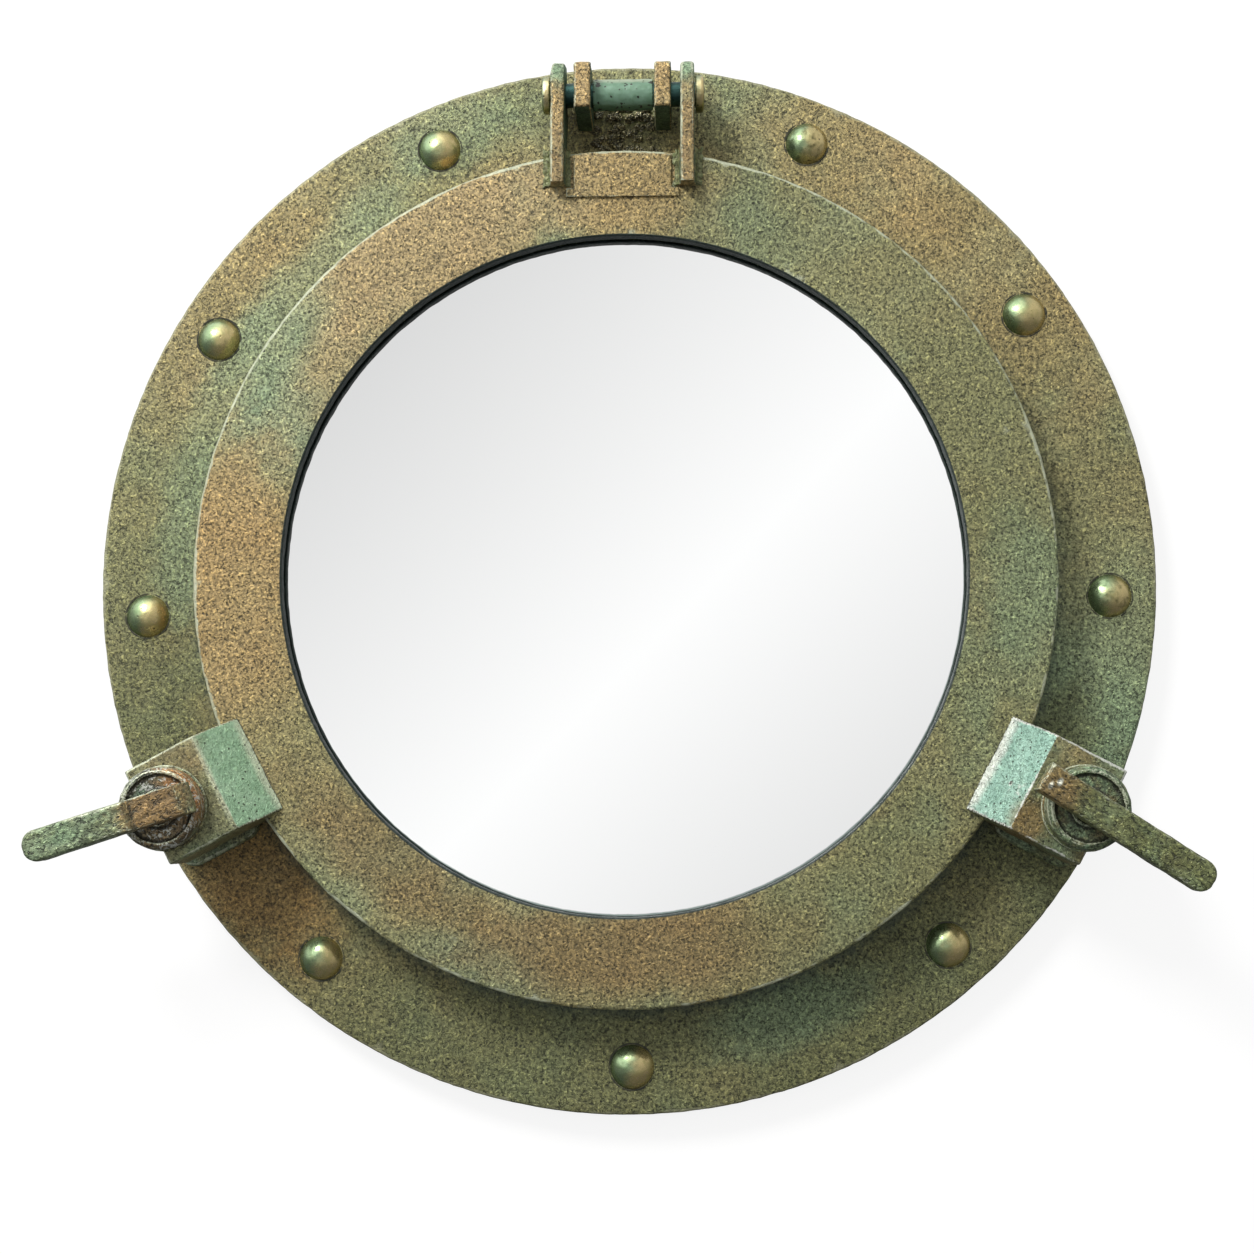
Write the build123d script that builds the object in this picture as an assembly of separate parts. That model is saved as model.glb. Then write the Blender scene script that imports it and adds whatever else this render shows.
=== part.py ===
"""A round porthole mirror: a riveted wall flange, and a mirror ring hinged to it at the top and
held shut by two clamping dogs with turned handles.

Millimetres, +Z up. The mirror faces -Y and the wall is on the +Y side. Sizes are worked about
the flange's centre, with heights counted forward from the flange's front face, and every piece
is then moved so that the origin is the centre of the hanging hole, on the wall side of the
hanger plate.
"""

import os
from math import cos, radians, sin

from build123d import *

# Clearances
running_clearance = 0.05
fixed_clearance = 0.02
moving_gap = 0.3
drop_in_clearance = 0.5
socket_clearance = 0.6

# Mirror ring, whose hole sets the size of all the rest
ring_hole_radius = 136.0
ring_width = 36.0
ring_back_height = 2.0
ring_front_height = 21.0
ring_front_wall = 5.0
ring_outer_wall = 4.0
ring_web = 3.0
ring_lip = 6.0
ring_outer_round = 1.5
ring_hole_round = 0.8

# Glazing, from the lip of the ring back to the clips
rebate_width = 10.0
glazing_gasket_width = 7.0
glazing_gasket_thickness = 1.0
glass_thickness = 4.0
board_thickness = 3.0
clip_count = 4
clip_first_angle = 45.0
clip_width = 12.0
clip_thickness = 1.6
clip_overlap = 8.0
clip_post_radius = 4.5
clip_post_sunk = 1.2
clip_screw_radius = 2.0
clip_screw_length = 6.0
clip_screw_head_radius = 3.6
clip_screw_head_height = 1.6

# Wall flange
flange_border = 19.0
flange_depth = 13.0
flange_wall = 4.2
flange_rim_width = 6.0
flange_opening_step = 4.0
flange_edge_round = 1.6

# Rivets
rivet_circle_offset = 24.0
rivet_head_radius = 9.0
rivet_head_height = 5.6
rivet_shank_radius = 4.0
rivet_tail_radius = 6.5
rivet_tail_height = 2.0
rivet_spot_margin = 0.7
rivet_spot_depth = 0.5
rivet_angles = (33.3, 67.3, 113.2, 149.3, 184.5, 231.6, 270.9, 311.0, 357.5)

# Seal between the ring and the flange
seal_width = 6.0
seal_groove_depth = 1.5

# Hinge
pin_height = 16.0
pin_offset = 24.5
pin_radius = 5.0
pin_head_radius = 7.5
pin_head_thickness = 3.6
pin_head_round = 1.4
pin_cap_bore_depth = 2.2
sleeve_radius = 6.3
lug_eye_radius = 13.0
outer_lug_thickness = 6.0
outer_lug_overlap = 16.0
outer_lug_centre_x = 26.2
inner_lug_thickness = 7.1
inner_lug_centre_x = 16.2
inner_lug_gap = 15.0
inner_lug_rise = 11.0
lug_edge_break = 0.8
lug_weld_leg = 3.0
land_length = 20.0
land_thickness = 1.2
braze_pad_thickness = 1.4
braze_pad_height = 15.0

# Clamping dogs
dog_offset = 28.0
left_dog_angle = 208.0
right_dog_angle = 332.0
block_width = 41.0
block_overlap = 10.5
block_ridge_offset = 6.5
block_border = 8.5
block_top_height = 35.0
block_bottom_height = 10.0
block_edge_break = 0.7
boss_thickness = 5.0
boss_half_width = 23.0
boss_gap = 4.0
boss_border = 11.5
boss_corner_radius = 7.0
boss_edge_round = 1.5
stud_radius = 5.0
stud_thread_in_knob = 6.0
stud_tip_clearance = 0.8
washer_radius = 16.8
washer_thickness = 1.4
knob_radius = 16.0
knob_height = 9.0
knob_bevel = 1.6
knob_dish_radius = 13.0
knob_dish_depth = 1.4
handle_neck_radius = 6.0
handle_neck_seat = 2.0
handle_width = 12.3
handle_thickness = 8.5
handle_lift = 2.4
handle_reach = 51.0
handle_edge_round = 1.6
left_handle_tail = 14.5
right_handle_tail = 22.0
left_handle_angle = 198.0
right_handle_angle = 327.0
left_handle_step = 2.3
left_handle_root_reach = 8.0
collar_radius = 8.5
collar_thickness = 3.0

# Wall hanger
hanger_offset = 8.0
hanger_length = 64.0
hanger_width = 20.0
hanger_thickness = 1.6
hanger_hole_radius = 4.0
hanger_screw_offset = 23.0
hanger_post_radius = 5.5
hanger_screw_radius = 2.0
hanger_screw_head_radius = 3.8
hanger_screw_head_height = 1.8
hanger_screw_length = 6.0
hanger_inset = 0.5

# Radii and places that follow from the sizes above
ring_outer_radius = ring_hole_radius + ring_width
rebate_radius = ring_hole_radius + rebate_width
flange_opening_radius = ring_hole_radius + flange_opening_step
rivet_circle_radius = ring_outer_radius + rivet_circle_offset
flange_radius = rivet_circle_radius + flange_border
pin_z = ring_outer_radius + pin_offset
outer_lug_foot_z = ring_outer_radius - outer_lug_overlap
inner_lug_foot_z = ring_outer_radius + inner_lug_gap
inner_lug_top_z = pin_z + inner_lug_rise
land_bottom_z = ring_outer_radius - land_length
dog_radius = ring_outer_radius + dog_offset
block_inner_radius = ring_outer_radius - block_overlap
block_ridge_radius = ring_outer_radius + block_ridge_offset
block_outer_radius = dog_radius + block_border
boss_inner_radius = ring_outer_radius + boss_gap
boss_outer_radius = dog_radius + boss_border
hang_radius = ring_outer_radius + hanger_offset

# Heights that follow from the sizes above
flange_back = -flange_depth
relief_floor = -flange_wall
glass_front = ring_front_height - ring_lip - glazing_gasket_thickness
glass_back = glass_front - glass_thickness
board_back = glass_back - board_thickness
clip_back = board_back - clip_thickness
washer_bottom = block_top_height + moving_gap
knob_bottom = washer_bottom + washer_thickness
knob_top = knob_bottom + knob_height
stud_tip = stud_tip_clearance
collar_top = block_bottom_height - moving_gap
hanger_back = flange_back + hanger_inset + hanger_screw_head_height
hanger_front = hanger_back + hanger_thickness
seal_radius = rebate_radius + ring_web / 2
land_half_width = outer_lug_centre_x - outer_lug_thickness / 2 - moving_gap


def disc(radius, low, high, x=0.0, z=0.0):
    """A cylinder along Y, from one height to another in front of the flange's face."""
    middle = Pos(x, -(low + high) / 2, z)
    return middle * Cylinder(radius, high - low, rotation=(90, 0, 0))


def tube(outer, inner, low, high, x=0.0, z=0.0):
    """A disc with a hole right through it."""
    return disc(outer, low, high, x, z) - disc(inner, low - 1, high + 1, x, z)


def rod_x(radius, x_low, x_high):
    """A cylinder along X on the hinge pin's axis."""
    middle = Pos((x_low + x_high) / 2, -pin_height, pin_z)
    return middle * Cylinder(radius, x_high - x_low, rotation=(0, 90, 0))


def slab(x_low, x_high, low, high, z_low, z_high):
    """A box given by its sides."""
    middle = Pos((x_low + x_high) / 2, -(low + high) / 2, (z_low + z_high) / 2)
    return middle * Box(x_high - x_low, high - low, z_high - z_low)


def side_prism(points, x_low, x_high):
    """A prism along X whose outline is given as (z, height) points."""
    outline = Polyline([(x_low, -height, z) for z, height in points], close=True)
    return extrude(make_face(outline), amount=x_high - x_low, dir=(1, 0, 0))


def turn(shape, angle):
    """Turns a shape made along +X to an angle counted anticlockwise, seen from the front."""
    return Rot(0, -angle, 0) * shape


def polar(radius, angle):
    """The x and z of a point at a radius and an angle."""
    return radius * cos(radians(angle)), radius * sin(radians(angle))


def circle_edges(shape, radius, height):
    """The circular edges of a shape at one radius and one height."""
    found = shape.edges().filter_by(GeomType.CIRCLE)
    return [
        edge
        for edge in found
        if abs(edge.radius - radius) < 1e-3 and abs(edge.center().Y + height) < 1e-3
    ]


def domed_head(radius, rise, base, x, z):
    """A dome of the given radius and rise, standing on a height."""
    sphere_radius = (radius**2 + rise**2) / (2 * rise)
    ball = Pos(x, -(base + rise - sphere_radius), z) * Sphere(sphere_radius)
    return ball & disc(radius + 1, base, base + rise + 1, x, z)


def wall_flange():
    """The dished casting against the wall, with its sockets for rivets, seal and hanger posts."""
    body = tube(flange_radius, flange_opening_radius, flange_back, 0)
    rims = circle_edges(body, flange_radius, 0) + circle_edges(body, flange_opening_radius, 0)
    body = fillet(rims, flange_edge_round)
    relief_outer = flange_radius - flange_rim_width
    relief_inner = flange_opening_radius + flange_rim_width
    body -= tube(relief_outer, relief_inner, flange_back - 1, relief_floor)
    for side in (-1, 1):
        post_x = side * hanger_screw_offset
        body += disc(hanger_post_radius, hanger_front, relief_floor, post_x, hang_radius)
        hole_radius = hanger_screw_radius + fixed_clearance
        hole_end = hanger_back + hanger_screw_length + drop_in_clearance
        body -= disc(hole_radius, hanger_front - 1, hole_end, post_x, hang_radius)
    groove_outer = seal_radius + seal_width / 2 + fixed_clearance
    groove_inner = seal_radius - seal_width / 2 - fixed_clearance
    body -= tube(groove_outer, groove_inner, -seal_groove_depth, 1)
    for angle in rivet_angles:
        x, z = polar(rivet_circle_radius, angle)
        body -= disc(rivet_head_radius + rivet_spot_margin, -rivet_spot_depth, 1, x, z)
        body -= disc(rivet_shank_radius + fixed_clearance, relief_floor - 1, 0, x, z)
    return body


def flange_rivets():
    """Dome-headed rivets through the flange, each with its set tail in the relief."""
    rivets = []
    for angle in rivet_angles:
        x, z = polar(rivet_circle_radius, angle)
        rivet = domed_head(rivet_head_radius, rivet_head_height, -rivet_spot_depth, x, z)
        tail_back = relief_floor - rivet_tail_height
        rivet += disc(rivet_shank_radius, tail_back, -rivet_spot_depth, x, z)
        rivet += disc(rivet_tail_radius, tail_back, relief_floor, x, z)
        rivets.append(rivet)
    return Compound(children=rivets)


def seal_gasket():
    """The rubber seal, let into the flange and almost touching the ring's back."""
    seal_top = ring_back_height - moving_gap
    outer = seal_radius + seal_width / 2
    return tube(outer, outer - seal_width, -seal_groove_depth, seal_top)


def wall_hanger():
    """The steel strap across two posts in the flange's back, with the hanging hole."""
    half = hanger_length / 2
    low_z = hang_radius - hanger_width / 2
    plate = slab(-half, half, hanger_back, hanger_front, low_z, low_z + hanger_width)
    corners = plate.edges().filter_by(Axis.Y)
    plate = fillet(corners, hanger_width / 3)
    plate -= disc(hanger_hole_radius, hanger_back - 1, hanger_front + 1, 0, hang_radius)
    for side in (-1, 1):
        hole_radius = hanger_screw_radius + fixed_clearance
        hole_x = side * hanger_screw_offset
        plate -= disc(hole_radius, hanger_back - 1, hanger_front + 1, hole_x, hang_radius)
    return plate


def hanger_screws():
    """Two pan-headed screws that hold the strap to its posts."""
    screws = []
    for side in (-1, 1):
        x = side * hanger_screw_offset
        tip = hanger_back + hanger_screw_length
        screw = disc(hanger_screw_radius, hanger_back, tip, x, hang_radius)
        head_back = hanger_back - hanger_screw_head_height
        screw += disc(hanger_screw_head_radius, head_back, hanger_back, x, hang_radius)
        screws.append(screw)
    return Compound(children=screws)


def clip_angles():
    """The angles of the clips that hold the glazing in the ring."""
    return [clip_first_angle + 360 / clip_count * n for n in range(clip_count)]


def clip_screw_circle():
    """The radius at which the clips' screws stand, in the ring's hollow back."""
    return rebate_radius + ring_web + clip_post_radius - clip_post_sunk


def window_ring():
    """The hollow-backed ring casting, with a rebate for the glazing and posts for its clips."""
    body = tube(ring_outer_radius, ring_hole_radius, ring_back_height, ring_front_height)
    body = fillet(circle_edges(body, ring_outer_radius, ring_front_height), ring_outer_round)
    body = fillet(circle_edges(body, ring_hole_radius, ring_front_height), ring_hole_round)
    lip_back = ring_front_height - ring_lip
    body -= tube(rebate_radius, ring_hole_radius - 1, ring_back_height - 1, lip_back)
    hollow_outer = ring_outer_radius - ring_outer_wall
    hollow_inner = rebate_radius + ring_web
    hollow_floor = ring_front_height - ring_front_wall
    body -= tube(hollow_outer, hollow_inner, ring_back_height - 1, hollow_floor)
    notch_half = clip_width / 2 + moving_gap
    for angle in clip_angles():
        post = disc(clip_post_radius, board_back, hollow_floor, clip_screw_circle(), 0)
        hole_end = clip_back + clip_screw_length + drop_in_clearance
        hole_radius = clip_screw_radius + fixed_clearance
        hole = disc(hole_radius, board_back - 1, hole_end, clip_screw_circle(), 0)
        notch = slab(
            rebate_radius - 1,
            hollow_inner + clip_post_radius,
            ring_back_height - 1,
            board_back,
            -notch_half,
            notch_half,
        )
        body += turn(post, angle)
        body -= turn(hole, angle)
        body -= turn(notch, angle)
    return body


def glazing_gasket():
    """The thin ring of rubber between the lip and the glass."""
    outer = rebate_radius - drop_in_clearance
    inner = outer - glazing_gasket_width
    return tube(outer, inner, glass_front, glass_front + glazing_gasket_thickness)


def mirror_glass():
    """The silvered pane, with its edges eased."""
    pane = disc(rebate_radius - drop_in_clearance, glass_back, glass_front)
    return chamfer(pane.edges().filter_by(GeomType.CIRCLE), drop_in_clearance)


def backing_board():
    """The board behind the glass."""
    return disc(rebate_radius - drop_in_clearance, board_back, glass_back)


def retaining_clips():
    """The clips that reach over the web of the ring and press on the board."""
    clips = []
    tip = rebate_radius - clip_overlap
    heel = clip_screw_circle() + clip_post_radius
    for angle in clip_angles():
        clip = slab(tip, heel, clip_back, board_back, -clip_width / 2, clip_width / 2)
        hole_radius = clip_screw_radius + fixed_clearance
        clip -= disc(hole_radius, clip_back - 1, board_back + 1, clip_screw_circle(), 0)
        clips.append(turn(clip, angle))
    return Compound(children=clips)


def clip_screws():
    """The screws that hold the clips to the ring's posts."""
    screws = []
    for angle in clip_angles():
        tip = clip_back + clip_screw_length
        screw = disc(clip_screw_radius, clip_back, tip, clip_screw_circle(), 0)
        head_back = clip_back - clip_screw_head_height
        screw += disc(clip_screw_head_radius, head_back, clip_back, clip_screw_circle(), 0)
        screws.append(turn(screw, angle))
    return Compound(children=screws)


def ring_envelope():
    """The space of the ring, without its rounded edges."""
    return disc(ring_outer_radius, ring_back_height, ring_front_height)


def outer_lug(side):
    """A lug welded to the ring, with a round eye that turns on the hinge pin."""
    centre = side * outer_lug_centre_x
    x_low = centre - outer_lug_thickness / 2
    x_high = centre + outer_lug_thickness / 2
    front = pin_height + lug_eye_radius
    rear = pin_height - lug_eye_radius
    foot_z = ring_outer_radius - ring_outer_wall * 2
    points = [
        (outer_lug_foot_z, ring_front_height),
        (outer_lug_foot_z, front),
        (pin_z, front),
        (pin_z, rear),
        (foot_z, rear),
        (foot_z, ring_front_height),
    ]
    lug = side_prism(points, x_low, x_high) + rod_x(lug_eye_radius, x_low, x_high)
    weld = [
        (outer_lug_foot_z, ring_front_height),
        (outer_lug_foot_z, ring_front_height + lug_weld_leg),
        (ring_outer_radius, ring_front_height + lug_weld_leg),
        (ring_outer_radius, ring_front_height),
    ]
    fillet_band = side_prism(weld, x_low - lug_weld_leg, x_high + lug_weld_leg)
    upper = fillet_band.faces().sort_by(Axis.Y)[0].edges().filter_by(Axis.Z)
    lug += chamfer(upper, lug_weld_leg * 0.99)
    lug -= ring_envelope()
    front_edges = lug.faces().filter_by(Axis.Y).sort_by(Axis.Y)[0].edges().filter_by(Axis.Z)
    lug = chamfer(front_edges, lug_edge_break)
    return lug - rod_x(pin_radius + running_clearance, x_low - 1, x_high + 1)


def inner_lug(side):
    """A lug on the flange that holds the hinge pin."""
    centre = side * inner_lug_centre_x
    x_low = centre - inner_lug_thickness / 2
    x_high = centre + inner_lug_thickness / 2
    front = pin_height + lug_eye_radius
    shoulder = lug_eye_radius / 3
    points = [
        (inner_lug_foot_z, 0),
        (inner_lug_foot_z, front),
        (inner_lug_top_z - shoulder / 2, front),
        (inner_lug_top_z, front - shoulder),
        (inner_lug_top_z, shoulder),
        (inner_lug_top_z - shoulder / 2, 0),
    ]
    lug = side_prism(points, x_low, x_high)
    front_edges = lug.faces().filter_by(Axis.Y).sort_by(Axis.Y)[0].edges()
    lug = chamfer(front_edges, lug_edge_break)
    return lug - rod_x(pin_radius + fixed_clearance, x_low - 1, x_high + 1)


def hinge_land():
    """The raised plate on the ring's face, between the lugs that it carries."""
    plate = slab(
        -land_half_width,
        land_half_width,
        ring_front_height,
        ring_front_height + land_thickness,
        land_bottom_z,
        ring_outer_radius,
    )
    plate -= slab(
        land_half_width - lug_weld_leg,
        land_half_width + 1,
        ring_front_height - 1,
        ring_front_height + land_thickness + 1,
        outer_lug_foot_z - moving_gap,
        ring_outer_radius + 1,
    )
    plate -= slab(
        -land_half_width - 1,
        -land_half_width + lug_weld_leg,
        ring_front_height - 1,
        ring_front_height + land_thickness + 1,
        outer_lug_foot_z - moving_gap,
        ring_outer_radius + 1,
    )
    edge_radius = ring_outer_radius - ring_outer_round
    return plate & disc(edge_radius, ring_front_height, ring_front_height + land_thickness)


def braze_pad():
    """The rough pad of braze between the two inner lugs, on the flange."""
    half = inner_lug_centre_x - inner_lug_thickness / 2 - moving_gap
    low_z = inner_lug_foot_z - braze_pad_height / 3
    pad = slab(-half, half, 0, braze_pad_thickness, low_z, low_z + braze_pad_height)
    return chamfer(pad.faces().sort_by(Axis.Y)[0].edges(), braze_pad_thickness / 2)


def pin_head_inner_x():
    """How far out along X the pin's heads begin."""
    return outer_lug_centre_x + outer_lug_thickness / 2 + moving_gap


def rounded_head(x_low, x_high, outer_x):
    """A button head on the pin's axis, rounded on its outer face."""
    head = rod_x(pin_head_radius, x_low, x_high)
    edges = [
        edge
        for edge in head.edges().filter_by(GeomType.CIRCLE)
        if abs(edge.center().X - outer_x) < 1e-3
    ]
    return fillet(edges, pin_head_round)


def hinge_pin():
    """The pin, with its own button head at the left end."""
    head_x = pin_head_inner_x()
    outer_x = head_x + pin_head_thickness
    head = rounded_head(-outer_x, -head_x, -outer_x)
    return head + rod_x(pin_radius, -head_x, head_x + pin_cap_bore_depth)


def hinge_pin_cap():
    """The button riveted over the pin's right end."""
    head_x = pin_head_inner_x()
    outer_x = head_x + pin_head_thickness
    cap = rounded_head(head_x, outer_x, outer_x)
    bore_end = head_x + pin_cap_bore_depth + fixed_clearance
    return cap - rod_x(pin_radius + fixed_clearance, head_x - 1, bore_end)


def hinge_sleeve():
    """The loose sleeve on the pin between the inner lugs."""
    half = inner_lug_centre_x - inner_lug_thickness / 2 - moving_gap
    sleeve = rod_x(sleeve_radius, -half, half)
    return sleeve - rod_x(pin_radius + running_clearance, -half - 1, half + 1)


def dog_boss(angle):
    """The pad on the flange that takes the tip of a dog's stud."""
    pad = slab(
        boss_inner_radius,
        boss_outer_radius,
        0,
        boss_thickness,
        -boss_half_width,
        boss_half_width,
    )
    pad = fillet(pad.edges().filter_by(Axis.Y), boss_corner_radius)
    pad = fillet(pad.faces().sort_by(Axis.Y)[0].edges(), boss_edge_round)
    socket = disc(stud_radius + socket_clearance, -1, boss_thickness + 1, dog_radius, 0)
    return turn(pad - socket, angle)


def clamp_block(angle):
    """The wedge-fronted block on the ring, bored for a dog's stud."""
    points = [
        (block_inner_radius, ring_front_height),
        (block_ridge_radius, block_top_height),
        (block_outer_radius, block_top_height),
        (block_outer_radius, block_bottom_height),
        (block_inner_radius, block_bottom_height),
    ]
    outline = Polyline([(radius, -height, 0) for radius, height in points], close=True)
    block = Pos(0, 0, -block_width / 2) * extrude(make_face(outline), block_width, dir=(0, 0, 1))
    top = block.faces().filter_by(Axis.Y).sort_by(Axis.Y)[0]
    outer_edges = top.edges().sort_by(Axis.X)[1:]
    block = chamfer(outer_edges, block_edge_break)
    block -= ring_envelope()
    bore_radius = stud_radius + running_clearance
    block -= disc(bore_radius, 0, block_top_height + 1, dog_radius, 0)
    return turn(block, angle)


def dog_stud(angle):
    """The stud from the knob, through the block, into the boss."""
    top = knob_bottom + stud_thread_in_knob
    stud = disc(stud_radius, stud_tip, top, dog_radius, 0)
    tip_edges = circle_edges(stud, stud_radius, stud_tip)
    return turn(chamfer(tip_edges, stud_radius / 5), angle)


def dog_washer(angle):
    """The broad washer under the knob."""
    hole = stud_radius + fixed_clearance
    return turn(tube(washer_radius, hole, washer_bottom, knob_bottom, dog_radius, 0), angle)


def dog_collar(angle):
    """The collar under the block that keeps the stud from pulling out."""
    low = collar_top - collar_thickness
    hole = stud_radius + fixed_clearance
    return turn(tube(collar_radius, hole, low, collar_top, dog_radius, 0), angle)


def dog_knob(angle):
    """The round knob, dished on top, with sockets for the stud and the handle's neck."""
    knob = disc(knob_radius, knob_bottom, knob_top, dog_radius, 0)
    knob = chamfer(circle_edges(knob, knob_radius, knob_top), knob_bevel)
    dish_floor = knob_top - knob_dish_depth
    knob -= disc(knob_dish_radius, dish_floor, knob_top + 1, dog_radius, 0)
    hub_radius = handle_neck_radius + knob_dish_depth
    knob += disc(hub_radius, dish_floor - 1, knob_top, dog_radius, 0)
    neck_hole = handle_neck_radius + fixed_clearance
    knob -= disc(neck_hole, knob_top - handle_neck_seat, knob_top + 1, dog_radius, 0)
    stud_hole = stud_radius + fixed_clearance
    stud_end = knob_bottom + stud_thread_in_knob
    knob -= disc(stud_hole, knob_bottom - 1, stud_end, dog_radius, 0)
    return turn(knob, angle)


def handle_bar(profile):
    """A bar along +X from a side outline of (reach, height) points, with a round far end."""
    outline = Polyline([(reach, -height, 0) for reach, height in profile], close=True)
    half = handle_width / 2
    bar = Pos(0, 0, -half) * extrude(make_face(outline), handle_width, dir=(0, 0, 1))
    far_end = bar.edges().filter_by(Axis.Y).group_by(Axis.X)[-1]
    return fillet(far_end, half * 0.9)


def straight_profile(tail):
    """The side outline of the straight bar."""
    low = knob_top + handle_lift
    high = low + handle_thickness
    return [(-tail, low), (-tail, high), (handle_reach, high), (handle_reach, low)]


def stepped_profile(tail):
    """The side outline of the bar that steps down to a lower root over the knob."""
    low = knob_top + handle_lift
    high = low + handle_thickness
    root = left_handle_root_reach
    step = left_handle_step
    break_back = handle_thickness / 2
    return [
        (-tail, low - step),
        (-tail, high - step - break_back),
        (-tail + break_back, high - step),
        (root, high - step),
        (root + step, high),
        (handle_reach, high),
        (handle_reach, low),
        (root + step * 2, low),
        (root, low - step),
    ]


def dog_handle(dog_angle, handle_angle, profile):
    """A handle standing on its neck in the knob's centre."""
    bar = handle_bar(profile)
    top_edges = bar.faces().filter_by(Axis.Y).sort_by(Axis.Y)[0].edges()
    bar = fillet(top_edges, handle_edge_round)
    neck_low = knob_top - handle_neck_seat
    neck_high = knob_top + handle_lift + handle_thickness / 2
    handle = bar + disc(handle_neck_radius, neck_low, neck_high)
    x, z = polar(dog_radius, dog_angle)
    return Pos(x, 0, z) * turn(handle, handle_angle)


def dog_parts(name, dog_angle, handle_angle, profile):
    """The pieces of one dog, by name."""
    return {
        f"{name}_dog_boss": dog_boss(dog_angle),
        f"{name}_clamp_block": clamp_block(dog_angle),
        f"{name}_dog_stud": dog_stud(dog_angle),
        f"{name}_dog_washer": dog_washer(dog_angle),
        f"{name}_dog_collar": dog_collar(dog_angle),
        f"{name}_dog_knob": dog_knob(dog_angle),
        f"{name}_dog_handle": dog_handle(dog_angle, handle_angle, profile),
    }


def all_parts():
    """Every piece of the mirror, by the name of its node."""
    parts = {
        "wall_flange": wall_flange(),
        "flange_rivets": flange_rivets(),
        "seal_gasket": seal_gasket(),
        "wall_hanger": wall_hanger(),
        "hanger_screws": hanger_screws(),
        "window_ring": window_ring(),
        "glazing_gasket": glazing_gasket(),
        "mirror_glass": mirror_glass(),
        "backing_board": backing_board(),
        "retaining_clips": retaining_clips(),
        "clip_screws": clip_screws(),
        "outer_hinge_lug_left": outer_lug(-1),
        "outer_hinge_lug_right": outer_lug(1),
        "inner_hinge_lug_left": inner_lug(-1),
        "inner_hinge_lug_right": inner_lug(1),
        "hinge_land": hinge_land(),
        "hinge_braze_pad": braze_pad(),
        "hinge_pin": hinge_pin(),
        "hinge_pin_cap": hinge_pin_cap(),
        "hinge_sleeve": hinge_sleeve(),
    }
    left = stepped_profile(left_handle_tail)
    right = straight_profile(right_handle_tail)
    parts.update(dog_parts("left", left_dog_angle, left_handle_angle, left))
    parts.update(dog_parts("right", right_dog_angle, right_handle_angle, right))
    return parts


def main():
    """Moves every piece to the hanging hole's centre and writes it."""
    os.makedirs("parts", exist_ok=True)
    to_hanging_hole = Pos(0, hanger_back, -hang_radius)
    for name, shape in all_parts().items():
        export_step(to_hanging_hole * shape, f"parts/{name}.step")


main()
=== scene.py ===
"""Looks of a round porthole mirror: worn sand castings, dome rivets, hinge, dogs and mirror."""

import logging
from dataclasses import dataclass, field
from enum import Enum
from math import cos, pi, radians, sin

import bmesh
import bpy
from mathutils import Matrix, Vector, noise


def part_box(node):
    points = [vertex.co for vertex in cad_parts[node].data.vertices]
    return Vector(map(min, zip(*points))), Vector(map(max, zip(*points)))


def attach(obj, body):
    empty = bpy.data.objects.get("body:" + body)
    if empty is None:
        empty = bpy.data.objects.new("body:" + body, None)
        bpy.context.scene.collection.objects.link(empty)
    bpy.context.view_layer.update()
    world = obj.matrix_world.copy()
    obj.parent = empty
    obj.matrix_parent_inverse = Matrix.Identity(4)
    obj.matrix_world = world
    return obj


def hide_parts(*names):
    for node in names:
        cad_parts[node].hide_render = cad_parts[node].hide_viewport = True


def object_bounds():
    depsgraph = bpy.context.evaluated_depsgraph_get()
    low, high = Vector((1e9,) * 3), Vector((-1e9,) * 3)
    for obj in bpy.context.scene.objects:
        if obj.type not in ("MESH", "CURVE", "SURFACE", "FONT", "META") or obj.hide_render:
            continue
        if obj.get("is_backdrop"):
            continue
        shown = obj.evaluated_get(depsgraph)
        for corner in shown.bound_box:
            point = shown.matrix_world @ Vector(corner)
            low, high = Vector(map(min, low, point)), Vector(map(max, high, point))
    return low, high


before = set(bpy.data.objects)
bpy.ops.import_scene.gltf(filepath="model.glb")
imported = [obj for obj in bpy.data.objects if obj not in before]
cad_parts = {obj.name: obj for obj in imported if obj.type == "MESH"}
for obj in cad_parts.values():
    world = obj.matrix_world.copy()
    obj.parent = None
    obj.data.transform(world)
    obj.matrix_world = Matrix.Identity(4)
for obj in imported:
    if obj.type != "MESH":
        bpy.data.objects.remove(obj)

log = logging.getLogger("porthole")

Tone = tuple[float, float, float]
Profile = list[tuple[float, float]]

OLIVE: Tone = (0.185, 0.190, 0.088)
KHAKI: Tone = (0.250, 0.232, 0.112)
DARK_OLIVE: Tone = (0.112, 0.122, 0.052)
TAN: Tone = (0.385, 0.255, 0.108)
PINK_TAN: Tone = (0.400, 0.285, 0.145)
TEAL: Tone = (0.180, 0.310, 0.205)
MINT: Tone = (0.205, 0.345, 0.205)
TURQUOISE: Tone = (0.330, 0.560, 0.440)
BROWN: Tone = (0.205, 0.128, 0.052)
RUST: Tone = (0.230, 0.125, 0.035)
SOOT: Tone = (0.016, 0.017, 0.011)
# Near black for the painted shade in the ring's bore.
BORE_SHADE: Tone = (0.010, 0.020, 0.016)
# Pale tone for rubbed paint, also used for painted highlights.
PALE_RUB_AND_HIGHLIGHT: Tone = (0.560, 0.600, 0.440)
GOLD: Tone = (0.560, 0.500, 0.260)
COPPER: Tone = (0.420, 0.210, 0.080)
BONE: Tone = (0.620, 0.640, 0.580)
WELD: Tone = (0.230, 0.260, 0.110)
FOOT_SHADE: Tone = (0.045, 0.070, 0.055)


class Body(str, Enum):
    """The rigid bodies that pieces ride on."""

    FLANGE = "flange"
    RING = "mirror_ring"
    LEFT_DOG = "left_dog"
    RIGHT_DOG = "right_dog"


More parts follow.
